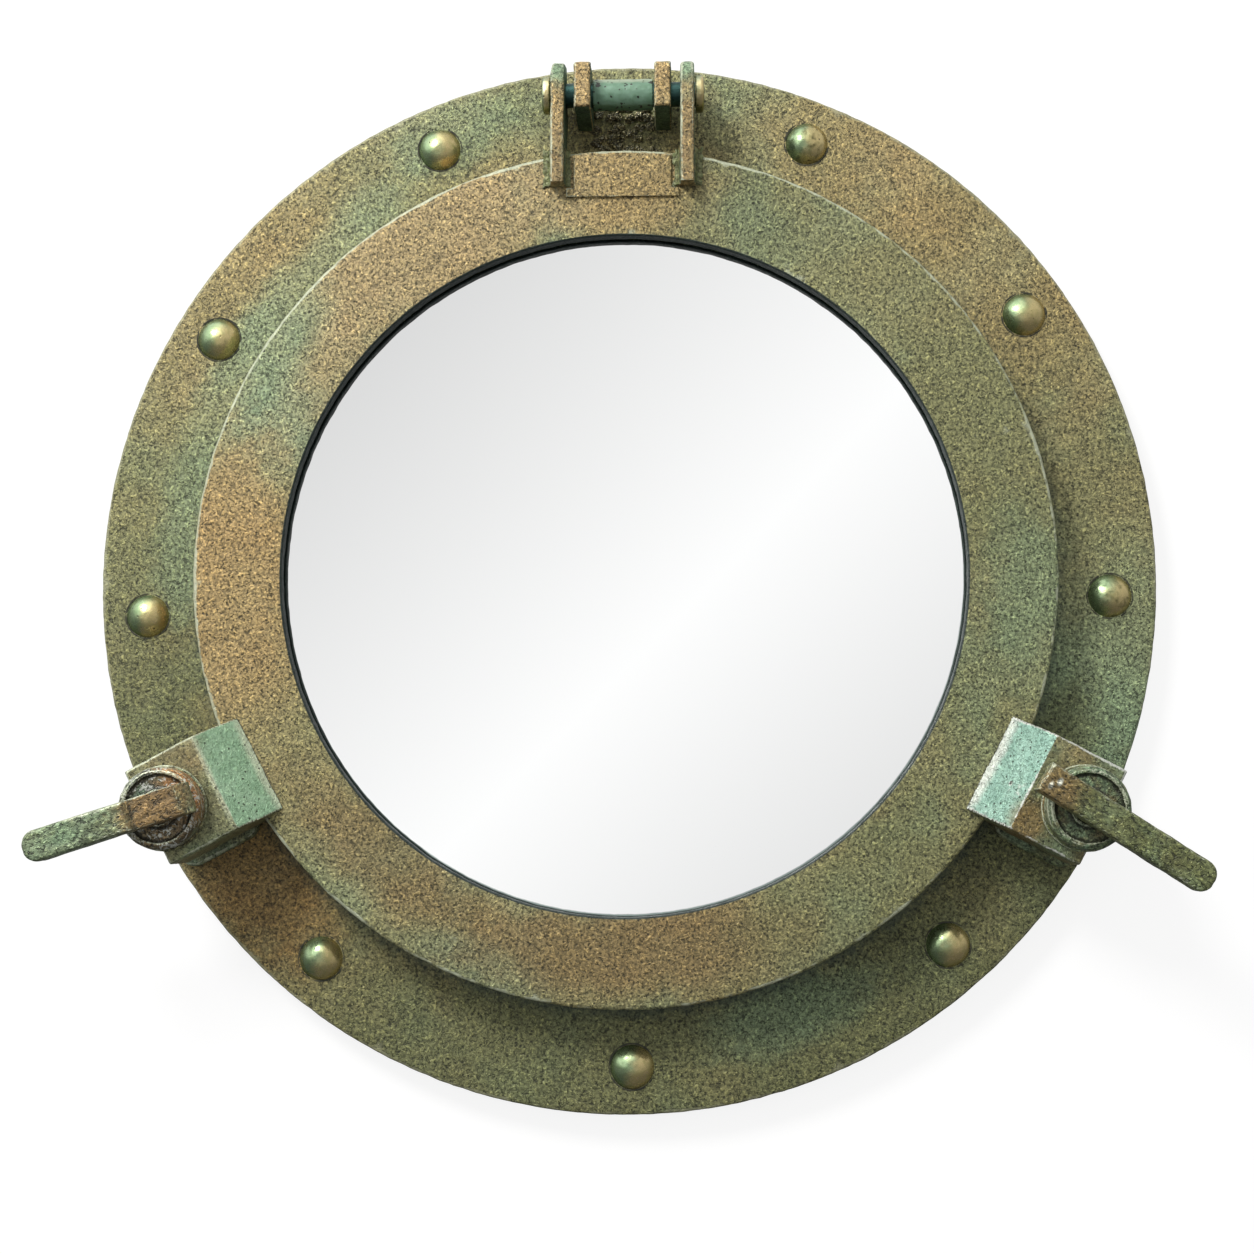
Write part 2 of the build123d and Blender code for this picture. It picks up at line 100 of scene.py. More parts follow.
class Side(Enum):
    """The two sides of the mirror, seen from the front."""

    LEFT = -1
    RIGHT = 1

    @property
    def word(self) -> str:
        """The side's name as the nodes have it."""
        return self.name.lower()

    @property
    def dog(self) -> Body:
        """The body of the dog on this side."""
        return Body.LEFT_DOG if self is Side.LEFT else Body.RIGHT_DOG


class Field:
    """A shader value that takes part in Python arithmetic."""

    def __init__(self, bench: "Bench", socket: bpy.types.NodeSocket) -> None:
        """Wraps a socket.

        Args:
            bench: The material's bench, which adds the nodes.
            socket: The output socket that holds the value.
        """
        self.bench = bench
        self.socket = socket

    def __add__(self, other: "Field | float") -> "Field":
        """The sum."""
        return self.bench.math("ADD", self, other)

    __radd__ = __add__

    def __sub__(self, other: "Field | float") -> "Field":
        """The difference."""
        return self.bench.math("SUBTRACT", self, other)

    def __rsub__(self, other: float) -> "Field":
        """The difference from a number."""
        return self.bench.math("SUBTRACT", other, self)

    def __mul__(self, other: "Field | float") -> "Field":
        """The product."""
        return self.bench.math("MULTIPLY", self, other)

    __rmul__ = __mul__

    def __truediv__(self, other: "Field | float") -> "Field":
        """The quotient."""
        return self.bench.math("DIVIDE", self, other)

    def __pow__(self, other: float) -> "Field":
        """The power."""
        return self.bench.math("POWER", self, other)

    def __abs__(self) -> "Field":
        """The size without its sign."""
        return self.bench.math("ABSOLUTE", self)


class Bench:
    """Builds the nodes of one material or of the world."""

    def __init__(self, tree: bpy.types.NodeTree) -> None:
        """Empties a node tree.

        Args:
            tree: The tree to fill.
        """
        self.tree = tree
        tree.nodes.clear()
        self.ground: bpy.types.NodeSocket | None = None

    def node(self, kind: str, settings: dict | None = None, inputs: dict | None = None) -> bpy.types.Node:
        """Adds a node.

        Args:
            kind: The node's type name.
            settings: Properties of the node, set before its inputs.
            inputs: Values or links of its sockets, by name or number.

        Returns:
            The new node.
        """
        made = self.tree.nodes.new(kind)
        for key, value in (settings or {}).items():
            setattr(made, key, value)
        for key, value in (inputs or {}).items():
            self.feed(made.inputs[key], value)
        return made

    def feed(self, target: bpy.types.NodeSocket, value: object) -> None:
        """Links or sets one input.

        Args:
            target: The input socket.
            value: A field, a socket, a number, or a colour or vector.
        """
        if isinstance(value, Field):
            value = value.socket
        if isinstance(value, bpy.types.NodeSocket):
            self.tree.links.new(value, target)
        elif target.type == "RGBA":
            target.default_value = (*value[:3], 1.0)
        else:
            target.default_value = value

    def math(self, operation: str, first: object, second: object = 0.0) -> Field:
        """Adds a Math node.

        Args:
            operation: The node's operation.
            first: The first value.
            second: The second value.

        Returns:
            The result.
        """
        made = self.node("ShaderNodeMath", {"operation": operation}, {0: first, 1: second})
        return Field(self, made.outputs[0])

    def smallest(self, first: object, second: object) -> Field:
        """The lesser of two values."""
        return self.math("MINIMUM", first, second)

    def largest(self, first: object, second: object) -> Field:
        """The greater of two values."""
        return self.math("MAXIMUM", first, second)

    def step(self, value: object, low: float, high: float) -> Field:
        """A smooth step that goes from 0 at low to 1 at high, also where low is the larger."""
        ports = {"Value": value, "From Min": low, "From Max": high}
        made = self.node("ShaderNodeMapRange", {"interpolation_type": "SMOOTHSTEP"}, ports)
        return Field(self, made.outputs["Result"])

    def mix(self, share: object, first: object, second: object, way: str = "MIX") -> bpy.types.NodeSocket:
        """Mixes two colours.

        Args:
            share: How much of the second colour shows.
            first: The first colour.
            second: The second colour.
            way: The blend type.

        Returns:
            The mixed colour.
        """
        settings = {"data_type": "RGBA", "blend_type": way}
        made = self.node("ShaderNodeMix", settings, {0: share, 6: first, 7: second})
        return made.outputs[2]

    def place(self) -> bpy.types.NodeSocket:
        """The point on the piece, in the frame's coordinates."""
        return self.node("ShaderNodeTexCoord").outputs["Object"]

    def drawn_out(self, way: Tone, stretch: float) -> bpy.types.NodeSocket:
        """The point on the piece, with the patterns drawn out along a direction.

        Args:
            way: The direction.
            stretch: How many times longer the patterns get.

        Returns:
            The changed coordinates.
        """
        place = self.place()
        far = self.along(place, way)
        back = self.node("ShaderNodeVectorMath", {"operation": "SCALE"}, {0: way, "Scale": far * (1 - 1 / stretch)})
        made = self.node("ShaderNodeVectorMath", {"operation": "SUBTRACT"}, {0: place, 1: back.outputs[0]})
        return made.outputs[0]

    def marked(self, name: str) -> Field:
        """A value that the mesh carries at its points."""
        made = self.node("ShaderNodeAttribute", {"attribute_name": name})
        return Field(self, made.outputs["Fac"])

    def facing(self) -> bpy.types.NodeSocket:
        """The surface's direction, in the frame's coordinates."""
        return self.node("ShaderNodeTexCoord").outputs["Normal"]

    def along(self, vector: bpy.types.NodeSocket, direction: Tone, origin: Tone = (0, 0, 0)) -> Field:
        """How far a vector reaches along a direction.

        Args:
            vector: The vector.
            direction: The direction, whose length scales the result.
            origin: The point that counts as zero.

        Returns:
            The distance along the direction.
        """
        moved = self.node("ShaderNodeVectorMath", {"operation": "SUBTRACT"}, {0: vector, 1: origin})
        dot = {"operation": "DOT_PRODUCT"}
        made = self.node("ShaderNodeVectorMath", dot, {0: moved.outputs[0], 1: direction})
        return Field(self, made.outputs["Value"])

    def cloud(self, scale: float, detail: float = 3.0, roughness: float = 0.55, shift: float = 0.0,
              distortion: float = 0.0) -> Field:
        """A soft noise between 0 and 1.

        Args:
            scale: Features per metre.
            detail: Octaves of detail.
            roughness: Strength of the finer octaves.
            shift: Moves the pattern, so that two clouds differ.
            distortion: How much the pattern folds.

        Returns:
            The noise.
        """
        moved = self.node("ShaderNodeVectorMath", {"operation": "ADD"},
                          {0: self.ground or self.place(), 1: (shift, shift * 0.7, -shift)})
        ports = {"Vector": moved.outputs[0], "Scale": scale, "Detail": detail,
                 "Roughness": roughness, "Distortion": distortion}
        made = self.node("ShaderNodeTexNoise", {}, ports)
        return Field(self, made.outputs[0])

    def pores(self, scale: float, randomness: float = 1.0, shift: float = 0.0) -> Field:
        """The distance to the nearest of many scattered points.

        Args:
            scale: Points per metre.
            randomness: How irregular they lie.
            shift: Moves the pattern.

        Returns:
            The distance, in cells.
        """
        moved = self.node("ShaderNodeVectorMath", {"operation": "ADD"},
                          {0: self.ground or self.place(), 1: (shift,) * 3})
        ports = {"Vector": moved.outputs[0], "Scale": scale, "Randomness": randomness}
        made = self.node("ShaderNodeTexVoronoi", {}, ports)
        return Field(self, made.outputs["Distance"])


@dataclass(frozen=True)
class Patch:
    """A place on the mirror's face where the patina has another tone.

    The angle is counted anticlockwise from the right, seen from the front.
    """

    angle: float
    radius: float
    reach_round: float
    reach_out: float
    tone: Tone
    strength: float = 0.8

    def mask(self, bench: Bench, wander: Field, centre_z: float) -> Field:
        """Where the patch shows.

        Args:
            bench: The material's bench.
            wander: A noise that makes the patch's edge uneven.
            centre_z: The height of the flange's centre.

        Returns:
            The patch's share, from 0 to its strength.
        """
        turn = radians(self.angle)
        outward = (cos(turn), 0.0, sin(turn))
        round_way = (-sin(turn), 0.0, cos(turn))
        middle = (self.radius * outward[0], 0.0, self.radius * outward[2] + centre_z)
        place = bench.place()
        far_out = bench.along(place, tuple(v / self.reach_out for v in outward), middle)
        far_round = bench.along(place, tuple(v / self.reach_round for v in round_way), middle)
        distance = (far_out * far_out + far_round * far_round) ** 0.5
        return bench.step(distance + wander * 1.5, 1.7, 0.55) * self.strength


@dataclass(frozen=True)
class Facet:
    """A flat side of a piece that has other tones."""

    way: Tone
    low: Tone
    high: Tone
    sureness: float = 0.955


@dataclass(frozen=True)
class Finish:
    """What a surface is made of."""

    name: str

    def paint(self, bench: Bench) -> bpy.types.NodeSocket:
        """Builds the nodes and returns the shader's output."""
        raise NotImplementedError

    def material(self) -> bpy.types.Material:
        """The finish's material, made once."""
        own_name = f"{self.name}_finish"
        known = bpy.data.materials.get(own_name)
        if known:
            return known
        made = bpy.data.materials.new(own_name)
        made.use_nodes = True
        bench = Bench(made.node_tree)
        shader = self.paint(bench)
        bench.node("ShaderNodeOutputMaterial", {}, {"Surface": shader})
        return made


@dataclass(frozen=True)
class Casting(Finish):
    """Sand-cast metal under a mottled patina, with a wormy grain, pits, worn edges lightened partly as painted
    highlight, and corners darkened by grime and painted shade.
    """

    low: Tone = OLIVE
    high: Tone = KHAKI
    green: Tone = TEAL
    greenness: float = 0.35
    earth: Tone = TAN
    earthiness: float = 0.25
    patches: tuple[Patch, ...] = ()
    facets: tuple[Facet, ...] = ()
    mottle: float = 14.0
    grain: float = 620.0
    contrast: float = 1.0
    bump: float = 0.75
    pits: float = 0.85
    specks_and_glints: float = 0.0
    wear: float = 0.8
    worn_and_lit_tone: Tone = PALE_RUB_AND_HIGHLIGHT
    dirt: float = 0.85
    shine: float = 0.56
    metal: float = 0.2
    centre_z: float = -0.18
    shift: float = 0.0
    # Radii of the painted shade in the ring's bore and round the ring's foot.
    bore_shade_radius: float = 0.0
    foot: float = 0.0
    streak: Tone | None = None

    def paint(self, bench: Bench) -> bpy.types.NodeSocket:
        """Builds the patina."""
        if self.streak:
            bench.ground = bench.drawn_out(self.streak, 1.6)
        middle = bench.cloud(self.mottle * 4.5, 4.0, 0.65, self.shift + 3.1)
        small = bench.cloud(self.mottle * 15.0, 3.0, 0.6, self.shift + 1.7)
        tone = self.colours(bench, middle, small)
        tone, height = self.skin(bench, tone, middle, small)
        tone = self.edges(bench, tone, small)
        bumped = bench.node("ShaderNodeBump", {}, {"Strength": self.bump, "Distance": 0.0007,
                                                   "Height": height})
        rough = bench.step(height, 0.2, 0.9) * -0.16 + (self.shine + 0.08)
        ports = {"Base Color": tone, "Metallic": self.metal, "Roughness": rough, "Normal": bumped.outputs[0]}
        return bench.node("ShaderNodeBsdfPrincipled", {}, ports).outputs[0]

    def colours(self, bench: Bench, middle: Field, small: Field) -> bpy.types.NodeSocket:
        """The patina's broad colours.

        Args:
            bench: The material's bench.
            middle: A noise of thumb-sized features.
            small: A noise of grain-sized features.

        Returns:
            The colour.
        """
        broad = bench.cloud(self.mottle, 3.0, 0.6, self.shift)
        tone = bench.mix(bench.step(broad * 0.65 + middle * 0.27 + small * 0.08, 0.36, 0.64), self.low,
                         self.high)
        verdigris = bench.cloud(self.mottle * 1.7, 2.5, 0.5, self.shift + 7.7) * 0.88 + small * 0.12
        tone = bench.mix(bench.step(verdigris, 0.44, 0.68) * self.greenness, tone, self.green)
        soil = bench.cloud(self.mottle * 2.0, 2.5, 0.5, self.shift + 12.4) * 0.88 + small * 0.12
        tone = bench.mix(bench.step(soil, 0.45, 0.68) * self.earthiness, tone, self.earth)
        wander = middle * 0.7 + small * 0.3 - 0.5
        for facet in self.facets:
            own = bench.mix(bench.step(middle, 0.36, 0.64), facet.low, facet.high)
            turned = bench.along(bench.facing(), facet.way)
            tone = bench.mix(bench.step(turned, facet.sureness - 0.04, facet.sureness), tone, own)
        for patch in self.patches:
            tone = bench.mix(patch.mask(bench, wander, self.centre_z), tone, patch.tone)
        return tone

    def strength_of_grain(self, bench: Bench) -> object:
        """How strongly the grain shows, which is less on the flat sides that are rubbed smooth."""
        amount: object = self.contrast
        for facet in self.facets:
            turned = bench.along(bench.facing(), facet.way)
            flat = bench.step(turned, facet.sureness - 0.04, facet.sureness)
            amount = (flat * -0.55 + 1.0) * amount
        return amount

    def skin(self, bench: Bench, tone: bpy.types.NodeSocket, middle: Field,
             small: Field) -> tuple[bpy.types.NodeSocket, Field]:
        """The wormy grain, its pits, its pale strokes that are partly painted highlight, and its pale specks.

        Args:
            bench: The material's bench.
            tone: The colour under the grain.
            middle: A noise of thumb-sized features.
            small: A noise of grain-sized features.

        Returns:
            The colour and the height of the surface.
        """
        amount = self.strength_of_grain(bench)
        fine = bench.cloud(self.grain * 1.35, 2.5, 0.65, self.shift)
        worm = abs(bench.cloud(self.grain * 1.05, 0.0, 0.5, self.shift + 0.9, 0.9) - 0.5)
        broken = bench.cloud(self.grain * 1.15, 1.0, 0.5, self.shift + 2.2)
        ridge = bench.step(worm, 0.095, 0.025) * bench.step(broken, 0.46, 0.55)
        furrow = abs(bench.cloud(self.grain * 0.95, 0.0, 0.5, self.shift + 4.4, 0.9) - 0.5)
        groove = bench.step(furrow, 0.085, 0.020) * bench.step(broken, 0.52, 0.43)
        tone = bench.mix(bench.step(fine, 0.34, 0.66),
                         bench.mix(amount, tone, (0.52, 0.53, 0.50), "MULTIPLY"),
                         bench.mix(amount, tone, (1.44, 1.43, 1.38), "MULTIPLY"))
        # Pale strokes on the ridges: partly scratch marks, partly painted highlight.
        tone = bench.mix(ridge * amount * 0.85, tone,
                         bench.mix(1.0, tone, (1.95, 1.90, 1.75), "MULTIPLY"))
        tone = bench.mix(groove * amount * 0.9, tone,
                         bench.mix(1.0, tone, (0.20, 0.21, 0.19), "MULTIPLY"))
        dot = bench.pores(self.grain * 0.62, 1.0, self.shift) + (small - 0.5) * 0.15
        pit = bench.step(dot, 0.20, 0.13) * bench.step(middle * 0.4 + broken * 0.6, 0.45, 0.51)
        tone = bench.mix(pit * self.pits, tone, SOOT)
        # Pale specks: speckle on the knob, painted glints on the braze.
        if self.specks_and_glints:
            chip = bench.step(bench.cloud(self.grain * 0.7, 2.0, 0.6, self.shift + 6.6, 1.0), 0.54, 0.60)
            tone = bench.mix(chip * self.specks_and_glints, tone, BONE)
        height = fine * 0.35 + ridge * 0.35 - groove * 0.4 - pit * self.pits * 0.8 + 0.35
        return tone, height

    def edges(self, bench: Bench, tone: bpy.types.NodeSocket, small: Field) -> bpy.types.NodeSocket:
        """The worn outer edges, lightened partly as a painted highlight towards the light, the grime and painted
        shade in the corners, and the painted shade in the bore and round the ring's foot.

        Args:
            bench: The material's bench.
            tone: The colour before.
            small: A noise of grain-sized features.

        Returns:
            The colour.
        """
        uneven = small - 0.5
        patchy = bench.cloud(48.0, 2.0, 0.5, self.shift + 8.8) - 0.5
        # Painted highlight: the pale edge mark is pushed onto faces turned to the upper left, towards the light;
        # the rest of it is rubbed paint.
        lit_side = bench.along(bench.facing(), (-0.30, 0.0, 0.35))
        worn = bench.step(bench.marked("wear") + uneven * 1.2 + patchy * 1.6 + lit_side, 0.60, 1.05)
        tone = bench.mix(worn * self.wear, tone, self.worn_and_lit_tone)
        # Corners get darker: partly grime, partly painted shade where the faces meet.
        sooty_and_shaded = bench.step(bench.marked("dirt") + uneven * 1.0, 0.22, 0.70)
        tone = bench.mix(sooty_and_shaded * self.dirt, tone, SOOT)
        weld = bench.step(bench.marked("weld") + uneven * 0.4, 0.05, 0.40)
        tone = bench.mix(weld * 0.85, tone, bench.mix(bench.step(small, 0.4, 0.6), WELD, DARK_OLIVE))
        if self.bore_shade_radius or self.foot:
            place = bench.place()
            out_x = bench.along(place, (1.0, 0.0, 0.0))
            out_z = bench.along(place, (0.0, 0.0, 1.0), (0.0, 0.0, self.centre_z))
            radius = (out_x * out_x + out_z * out_z) ** 0.5
            # Painted shade: the ring's bore is painted near black for the shade inside it.
            if self.bore_shade_radius:
                tone = bench.mix(bench.step(radius, self.bore_shade_radius + 0.0003, self.bore_shade_radius), tone, BORE_SHADE)
            # Painted shade: the flange darkens round the ring's foot.
            if self.foot:
                near = bench.step(radius + uneven * 0.008, self.foot + 0.008, self.foot + 0.0005)
                tone = bench.mix(near * 0.62, tone, FOOT_SHADE)
        return tone


@dataclass(frozen=True)
class Rubbed(Finish):
    """Bare metal rubbed to a satin shine, one tone on its left-facing sides and another on its right-facing sides,
    with painted green-dark shade on the rims that turn from the front; the chipped sleeve also gets a painted
    highlight on its top.
    """

    left: Tone = MINT
    right: Tone = GOLD
    metal: float = 0.85
    rough: float = 0.27
    pits: float = 0.8
    chips: float = 0.0
    shift: float = 0.0
    core: Tone | None = None
    core_half: float = 0.0

    def paint(self, bench: Bench) -> bpy.types.NodeSocket:
        """Builds the metal."""
        side = bench.along(bench.facing(), (0.75, 0.0, -0.20))
        blotch = bench.cloud(110.0, 3.0, 0.6, self.shift)
        tone = bench.mix(bench.step(side + blotch * 0.9, 0.15, 0.75), self.left, self.right)
        film = bench.cloud(420.0, 3.0, 0.6, self.shift + 2.0)
        tone = bench.mix(bench.step(film, 0.42, 0.68) * 0.5, tone, (0.62, 0.70, 0.58), "MULTIPLY")
        # Painted shade: rims that turn from the front are darkened and greened.
        rim = bench.step(abs(bench.along(bench.facing(), (0.0, 1.0, 0.0))), 0.62, 0.40)
        tone = bench.mix(rim * 0.7, tone, (0.25, 0.34, 0.22), "MULTIPLY")
        if self.core:
            out = abs(bench.along(bench.place(), (1.0, 0.0, 0.0)))
            tone = bench.mix(bench.step(out, self.core_half + 0.0003, self.core_half), tone, self.core)
        pit = bench.step(bench.pores(330.0, 1.0, self.shift), 0.17, 0.07) * bench.step(blotch, 0.48, 0.6)
        tone = bench.mix(pit * self.pits, tone, SOOT)
        if self.chips:
            # Painted highlight: the upward-facing top is lightened.
            painted_top_highlight = bench.step(bench.along(bench.facing(), (0.0, -0.35, 0.95)), 0.72, 0.96)
            tone = bench.mix(painted_top_highlight * 0.55, tone, PALE_RUB_AND_HIGHLIGHT)
            end = bench.step(abs(bench.along(bench.place(), (1.0, 0.0, 0.0))), 0.0060, 0.0122)
            flaking = bench.cloud(430.0, 1.5, 0.5, self.shift + 4.0) + end * 0.085
            tone = bench.mix(bench.step(flaking, 0.655, 0.67) * self.chips, tone, SOOT)
        # Corners get darker: partly grime, partly painted shade where the faces meet.
        sooty_and_shaded = bench.step(bench.marked("dirt") + (film - 0.5), 0.25, 0.7)
        tone = bench.mix(sooty_and_shaded * 0.8, tone, SOOT)
        bumped = bench.node("ShaderNodeBump", {}, {"Strength": 0.3, "Distance": 0.0004,
                                                   "Height": film - pit})
        rough = bench.step(film, 0.3, 0.7) * 0.16 + self.rough
        ports = {"Base Color": tone, "Metallic": self.metal, "Roughness": rough, "Normal": bumped.outputs[0]}
        return bench.node("ShaderNodeBsdfPrincipled", {}, ports).outputs[0]


@dataclass(frozen=True)
class Plain(Finish):
    """A simple finish that varies a little, for rubber, board, steel, and the rings of grime and painted shade
    round the rivets.
    """

    tone: Tone = (0.2, 0.2, 0.2)
    second: Tone = (0.1, 0.1, 0.1)
    scale: float = 200.0
    stretch: float = 1.0
    metal: float = 0.0
    rough: float = 0.5
    bump: float = 0.2

    def paint(self, bench: Bench) -> bpy.types.NodeSocket:
        """Builds the finish."""
        squeezed = bench.node("ShaderNodeVectorMath", {"operation": "MULTIPLY"},
                              {0: bench.place(), 1: (1.0, 1.0, self.stretch)})
        ports = {"Vector": squeezed.outputs[0], "Scale": self.scale, "Detail": 4.0, "Roughness": 0.6}
        grain = Field(bench, bench.node("ShaderNodeTexNoise", {}, ports).outputs[0])
        tone = bench.mix(bench.step(grain, 0.35, 0.65), self.tone, self.second)
        bumped = bench.node("ShaderNodeBump", {}, {"Strength": self.bump, "Distance": 0.0004, "Height": grain})
        rough = grain * 0.2 + (self.rough - 0.1)
        ports = {"Base Color": tone, "Metallic": self.metal, "Roughness": rough, "Normal": bumped.outputs[0]}
        return bench.node("ShaderNodeBsdfPrincipled", {}, ports).outputs[0]


@dataclass(frozen=True)
class Silvered(Finish):
    """Clean mirror glass with a faint haze and a greyer edge."""

    tone: Tone = (0.965, 0.970, 0.968)
    edge: Tone = (0.30, 0.36, 0.34)
    edge_radius: float = 0.1356
    centre_z: float = -0.18

    def paint(self, bench: Bench) -> bpy.types.NodeSocket:
        """Builds the silvering."""
        place = bench.place()
        out_x = bench.along(place, (1.0, 0.0, 0.0))
        out_z = bench.along(place, (0.0, 0.0, 1.0), (0.0, 0.0, self.centre_z))
        radius = (out_x * out_x + out_z * out_z) ** 0.5
        ragged = radius + (bench.cloud(160.0, 3.0) - 0.5) * 0.0006
        rim = bench.step(ragged, self.edge_radius - 0.0006, self.edge_radius)
        haze = bench.cloud(35.0, 3.0)
        ports = {"Base Color": bench.mix(rim, self.tone, self.edge), "Metallic": 1.0,
                 "Roughness": haze * 0.012 + 0.012}
        return bench.node("ShaderNodeBsdfPrincipled", {}, ports).outputs[0]


def wedge(angle: float) -> Tone:
    """The way that a clamp block's sloped front faces.

    Args:
        angle: Where the block stands, counted anticlockwise from the right.

    Returns:
        The direction.
    """
    inward, forward = 0.636, 0.772
    turn = radians(angle)
    return (-inward * cos(turn), -forward, -inward * sin(turn))


def bar_way(angle: float) -> Tone:
    """The direction of a handle's bar."""
    turn = radians(angle)
    return (cos(turn), 0.0, sin(turn))


@dataclass(frozen=True)
class Palette:
    """The finishes of the whole mirror."""

    flange: Casting = Casting(
        "flange_patina", low=OLIVE, high=KHAKI, greenness=0.34, earthiness=0.25, shift=0.0, foot=0.172,
        wear=0.55, worn_and_lit_tone=(0.40, 0.40, 0.26),
        patches=(
            Patch(272.0, 0.200, 0.180, 0.060, DARK_OLIVE, 0.70),
            Patch(318.0, 0.195, 0.070, 0.040, DARK_OLIVE, 0.60),
            Patch(42.0, 0.196, 0.060, 0.030, TAN, 0.40),
            Patch(62.0, 0.198, 0.030, 0.024, TAN, 0.30),
            Patch(150.0, 0.200, 0.060, 0.030, OLIVE, 0.35),
            Patch(148.0, 0.200, 0.050, 0.024, TAN, 0.36),
            Patch(131.0, 0.200, 0.034, 0.020, TAN, 0.25),
            Patch(137.0, 0.181, 0.050, 0.010, TEAL, 0.35),
            Patch(160.0, 0.181, 0.050, 0.010, TEAL, 0.30),
            Patch(194.0, 0.196, 0.046, 0.022, DARK_OLIVE, 0.60),
            Patch(177.0, 0.182, 0.022, 0.010, TEAL, 0.40),
            Patch(172.0, 0.202, 0.050, 0.020, OLIVE, 0.45),
            Patch(112.0, 0.202, 0.026, 0.014, TEAL, 0.30),
            Patch(345.0, 0.196, 0.040, 0.024, TEAL, 0.55),
            Patch(338.0, 0.186, 0.022, 0.014, DARK_OLIVE, 0.80),
            Patch(220.0, 0.192, 0.034, 0.022, RUST, 0.72),
            Patch(291.0, 0.186, 0.030, 0.012, TEAL, 0.30),
            Patch(5.0, 0.196, 0.050, 0.024, KHAKI, 0.40),
        ),
    )
    ring: Casting = Casting(
        "ring_patina", low=OLIVE, high=KHAKI, greenness=0.40, earthiness=0.35, shift=4.0, bore_shade_radius=0.1368,
        patches=(
            Patch(20.0, 0.154, 0.070, 0.030, OLIVE, 0.70),
            Patch(52.0, 0.152, 0.034, 0.022, KHAKI, 0.50),
            Patch(75.0, 0.156, 0.036, 0.020, DARK_OLIVE, 0.40),
            Patch(91.0, 0.158, 0.026, 0.022, TAN, 0.60),
            Patch(120.0, 0.156, 0.056, 0.024, PINK_TAN, 0.65),
            Patch(150.0, 0.164, 0.034, 0.012, TEAL, 0.45),
            Patch(147.0, 0.144, 0.034, 0.012, PINK_TAN, 0.40),
            Patch(160.0, 0.152, 0.024, 0.018, TEAL, 0.38),
            Patch(183.0, 0.156, 0.060, 0.026, TAN, 0.75),
            Patch(214.0, 0.156, 0.036, 0.024, KHAKI, 0.60),
            Patch(232.0, 0.146, 0.044, 0.014, BROWN, 0.55),
            Patch(250.0, 0.165, 0.024, 0.009, TEAL, 0.45),
            Patch(272.0, 0.148, 0.066, 0.016, BROWN, 0.66),
            Patch(304.0, 0.156, 0.040, 0.022, OLIVE, 0.60),
            Patch(333.0, 0.156, 0.040, 0.022, OLIVE, 0.30),
            Patch(349.0, 0.148, 0.022, 0.012, OLIVE, 0.30),
            Patch(356.0, 0.160, 0.030, 0.016, TEAL, 0.32),
        ),
    )
    lug_front: Casting = Casting(
        "lug_patina", low=(0.185, 0.135, 0.060), high=(0.34, 0.25, 0.115), greenness=0.30, mottle=45.0,
        shift=9.0, patches=(Patch(90.0, 0.2065, 0.050, 0.008, TEAL, 0.75),),
        # The side faces are darker green: partly patina, partly painted shade.
        facets=(Facet((1.0, 0.0, 0.0), (0.055, 0.085, 0.050), (0.095, 0.150, 0.085)),
                Facet((-1.0, 0.0, 0.0), (0.060, 0.090, 0.055), (0.120, 0.180, 0.110))),
    )
    inner_lug: Casting = Casting(
        "inner_lug_patina", low=(0.31, 0.22, 0.095), high=(0.42, 0.31, 0.15), greenness=0.10, mottle=50.0,
        shift=11.0, pits=0.6,
        # The side and under faces are darker green: partly patina, partly painted shade.
        facets=(Facet((1.0, 0.0, 0.0), (0.055, 0.085, 0.050), (0.095, 0.150, 0.085)),
                Facet((-1.0, 0.0, 0.0), (0.055, 0.085, 0.050), (0.095, 0.150, 0.085)),
                Facet((0.0, 0.0, -1.0), (0.045, 0.080, 0.045), (0.085, 0.140, 0.075))),
    )
    left_block: Casting = Casting(
        "left_block_patina", low=(0.150, 0.140, 0.065), high=(0.230, 0.240, 0.130), green=MINT,
        greenness=0.35, mottle=34.0, shift=13.0, contrast=0.75, shine=0.46, wear=0.9,
        # The slope's tones are lifted as painted light, for the light the slope catches.
        facets=(Facet(wedge(208.0), (0.250, 0.410, 0.255), (0.310, 0.470, 0.310)),),
        patches=(Patch(208.0, 0.1620, 0.024, 0.0022, PALE_RUB_AND_HIGHLIGHT, 0.75),
                 Patch(206.0, 0.1790, 0.020, 0.0010, PALE_RUB_AND_HIGHLIGHT, 0.55),
                 Patch(203.0, 0.1900, 0.010, 0.0100, BROWN, 0.45)),
    )
    right_block: Casting = Casting(
        "right_block_patina", low=(0.110, 0.105, 0.045), high=(0.200, 0.220, 0.115), green=TEAL,
        greenness=0.35, mottle=34.0, shift=17.0, contrast=0.75, shine=0.46, wear=0.9, worn_and_lit_tone=BONE,
        facets=(Facet(wedge(332.0), (0.195, 0.345, 0.275), (0.265, 0.430, 0.350)),),
        patches=(Patch(332.0, 0.1622, 0.024, 0.0024, BONE, 0.85),
                 Patch(327.5, 0.1840, 0.008, 0.0060, RUST, 0.55),
                 Patch(335.5, 0.1900, 0.007, 0.0050, RUST, 0.35)),
    )
    left_knob: Casting = Casting(
        "left_knob_patina", low=(0.030, 0.036, 0.030), high=(0.120, 0.160, 0.125), green=MINT, greenness=0.3,
        earth=BROWN, earthiness=0.4, mottle=90.0, shift=21.0, specks_and_glints=0.75, shine=0.34, metal=0.35,
        patches=(Patch(207.0, 0.186, 0.012, 0.008, COPPER, 0.85),
                 Patch(210.5, 0.200, 0.006, 0.014, BROWN, 0.6)),
    )
    right_knob: Casting = Casting(
        "right_knob_patina", low=(0.065, 0.075, 0.035), high=(0.150, 0.210, 0.125), green=TEAL,
        greenness=0.4, earth=BROWN, earthiness=0.5, mottle=90.0, shift=23.0, shine=0.42, metal=0.3,
    )
